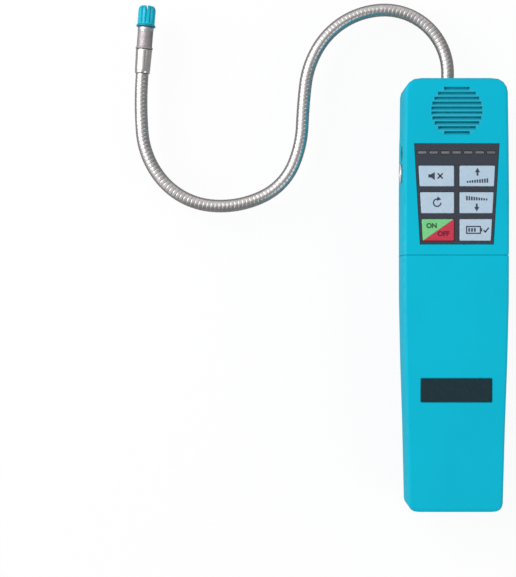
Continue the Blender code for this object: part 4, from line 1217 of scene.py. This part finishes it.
def bow(x, y, radius, start, end):
    # part of a ring between two angles
    deselectAll()
    bpy.ops.mesh.primitive_circle_add(
        vertices=sign["bowSides"], radius=radius * mm, fill_type="NGON",
        location=(x * mm, y * mm, 0),
    )
    ring = settle(newest("bow"))
    editAll(ring)
    bpy.ops.mesh.inset(thickness=sign["line"] * mm)
    bpy.ops.mesh.delete(type="FACE")
    done()

    def outside(middle):
        angle = math.degrees(math.atan2(middle.y - y * mm, middle.x - x * mm)) % 360
        return not start <= angle <= end and not start <= angle - 360 <= end

    pick(ring, "FACE", outside)
    bpy.ops.mesh.delete(type="FACE")
    done()
    return ring


def ramp(foot, rising):
    # bars that grow or shrink to the right
    look = sensitivitySigns
    last = look["bars"] - 1
    bars = []
    for index in range(look["bars"]):
        step = index if rising else last - index
        height = look["barLeast"] + step * look["barStep"]
        x = (index - last / 2) * look["barEvery"]
        bars.append(stroke(x, foot + height / 2, look["barWidth"], height))
    return bars


def arrow(y, up):
    # a shaft and a head, pointing up or down
    look = sensitivitySigns
    way = 1 if up else -1
    shaft = stroke(0, y - way * look["shaftDown"], *look["shaft"])
    return [shaft, wedge(0, y + way * look["headUp"], look["head"], 0 if up else 180)]


def setOn(nodeName, piece, x, y, raised, material):
    low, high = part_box(nodeName)
    middle = (low + high) / 2
    piece.location = (middle.x + x * mm, middle.y + y * mm, high.z - sign["sunk"] + raised)
    settle(piece)
    tidyMesh(piece, merging["fine"])
    place(piece, bodyOf[nodeName], slotOf[nodeName], material)


def printOn(nodeName, name, shapes):
    piece = joined(shapes, name)
    editAll(piece)
    extrude(0, 0, sign["thickness"])
    done()
    setOn(nodeName, piece, 0, 0, 0, finishes["ink"])


def wordOn(nodeName, name, letters, x, y, ink):
    deselectAll()
    bpy.ops.object.text_add()
    text = bpy.context.object
    text.data.body = letters
    text.data.size = sign["letters"] * mm
    text.data.align_x = "CENTER"
    text.data.align_y = "CENTER"
    text.data.offset = sign["fatter"] * mm
    text.data.extrude = sign["thickness"] / 2
    takeUp(text)
    bpy.ops.object.convert(target="MESH")
    setOn(nodeName, newest(name), x, y, sign["thickness"] / 2, finishes[ink])


def makeSigns():
    sound = [stroke(*muteSign["magnet"]), horn(*muteSign["horn"])]
    printOn("mute_key", "muteSign", sound + strokes(*muteSign["cross"]))
    turning = [bow(*resetSign["bow"]), wedge(*resetSign["head"])]
    printOn("reset_key", "resetSign", turning)
    look = sensitivitySigns
    upward = arrow(look["upArrow"], True) + ramp(look["upRamp"], True)
    printOn("sensitivity_up_key", "sensitivityUpSign", upward)
    downward = arrow(look["downArrow"], False) + ramp(look["downRamp"], False)
    printOn("sensitivity_down_key", "sensitivityDownSign", downward)
    cell = strokes(*batterySign["frame"], *batterySign["charge"], *batterySign["tick"])
    printOn("battery_test_key", "batterySign", cell)
    for name, values in keyWords.items():
        wordOn("power_key", name, *values)


makeSigns()
print("signs made")


# Finishes of the solids that stay

kept = {
    "main_board": "board",
    "speaker": "black",
    "battery_tray": "black",
    "battery_spring": "steel",
    "contact_plate": "nickel",
    "pump_motor": "steel",
    "pump_head": "black",
    "pump_bracket": "steel",
    "air_tube": "silicone",
    "probe_socket": "brass",
    "sensor_tip": "steel",
}
for number in range(1, 7):
    kept[f"switch_{number}"] = "black"
for number in range(1, 5):
    kept[f"board_screw_{number}"] = "steel"
for number in (1, 2):
    nodeName = f"battery_cell_{number}"
    low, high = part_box(nodeName)
    finishes[nodeName] = cellFinish(f"cellSleeve{number}", low.y, high.y)
    kept[nodeName] = nodeName

for nodeName, finish in kept.items():
    mesh = nodes[nodeName].data
    mesh.materials.clear()
    mesh.materials.append(finishes[finish])
print("solids finished")
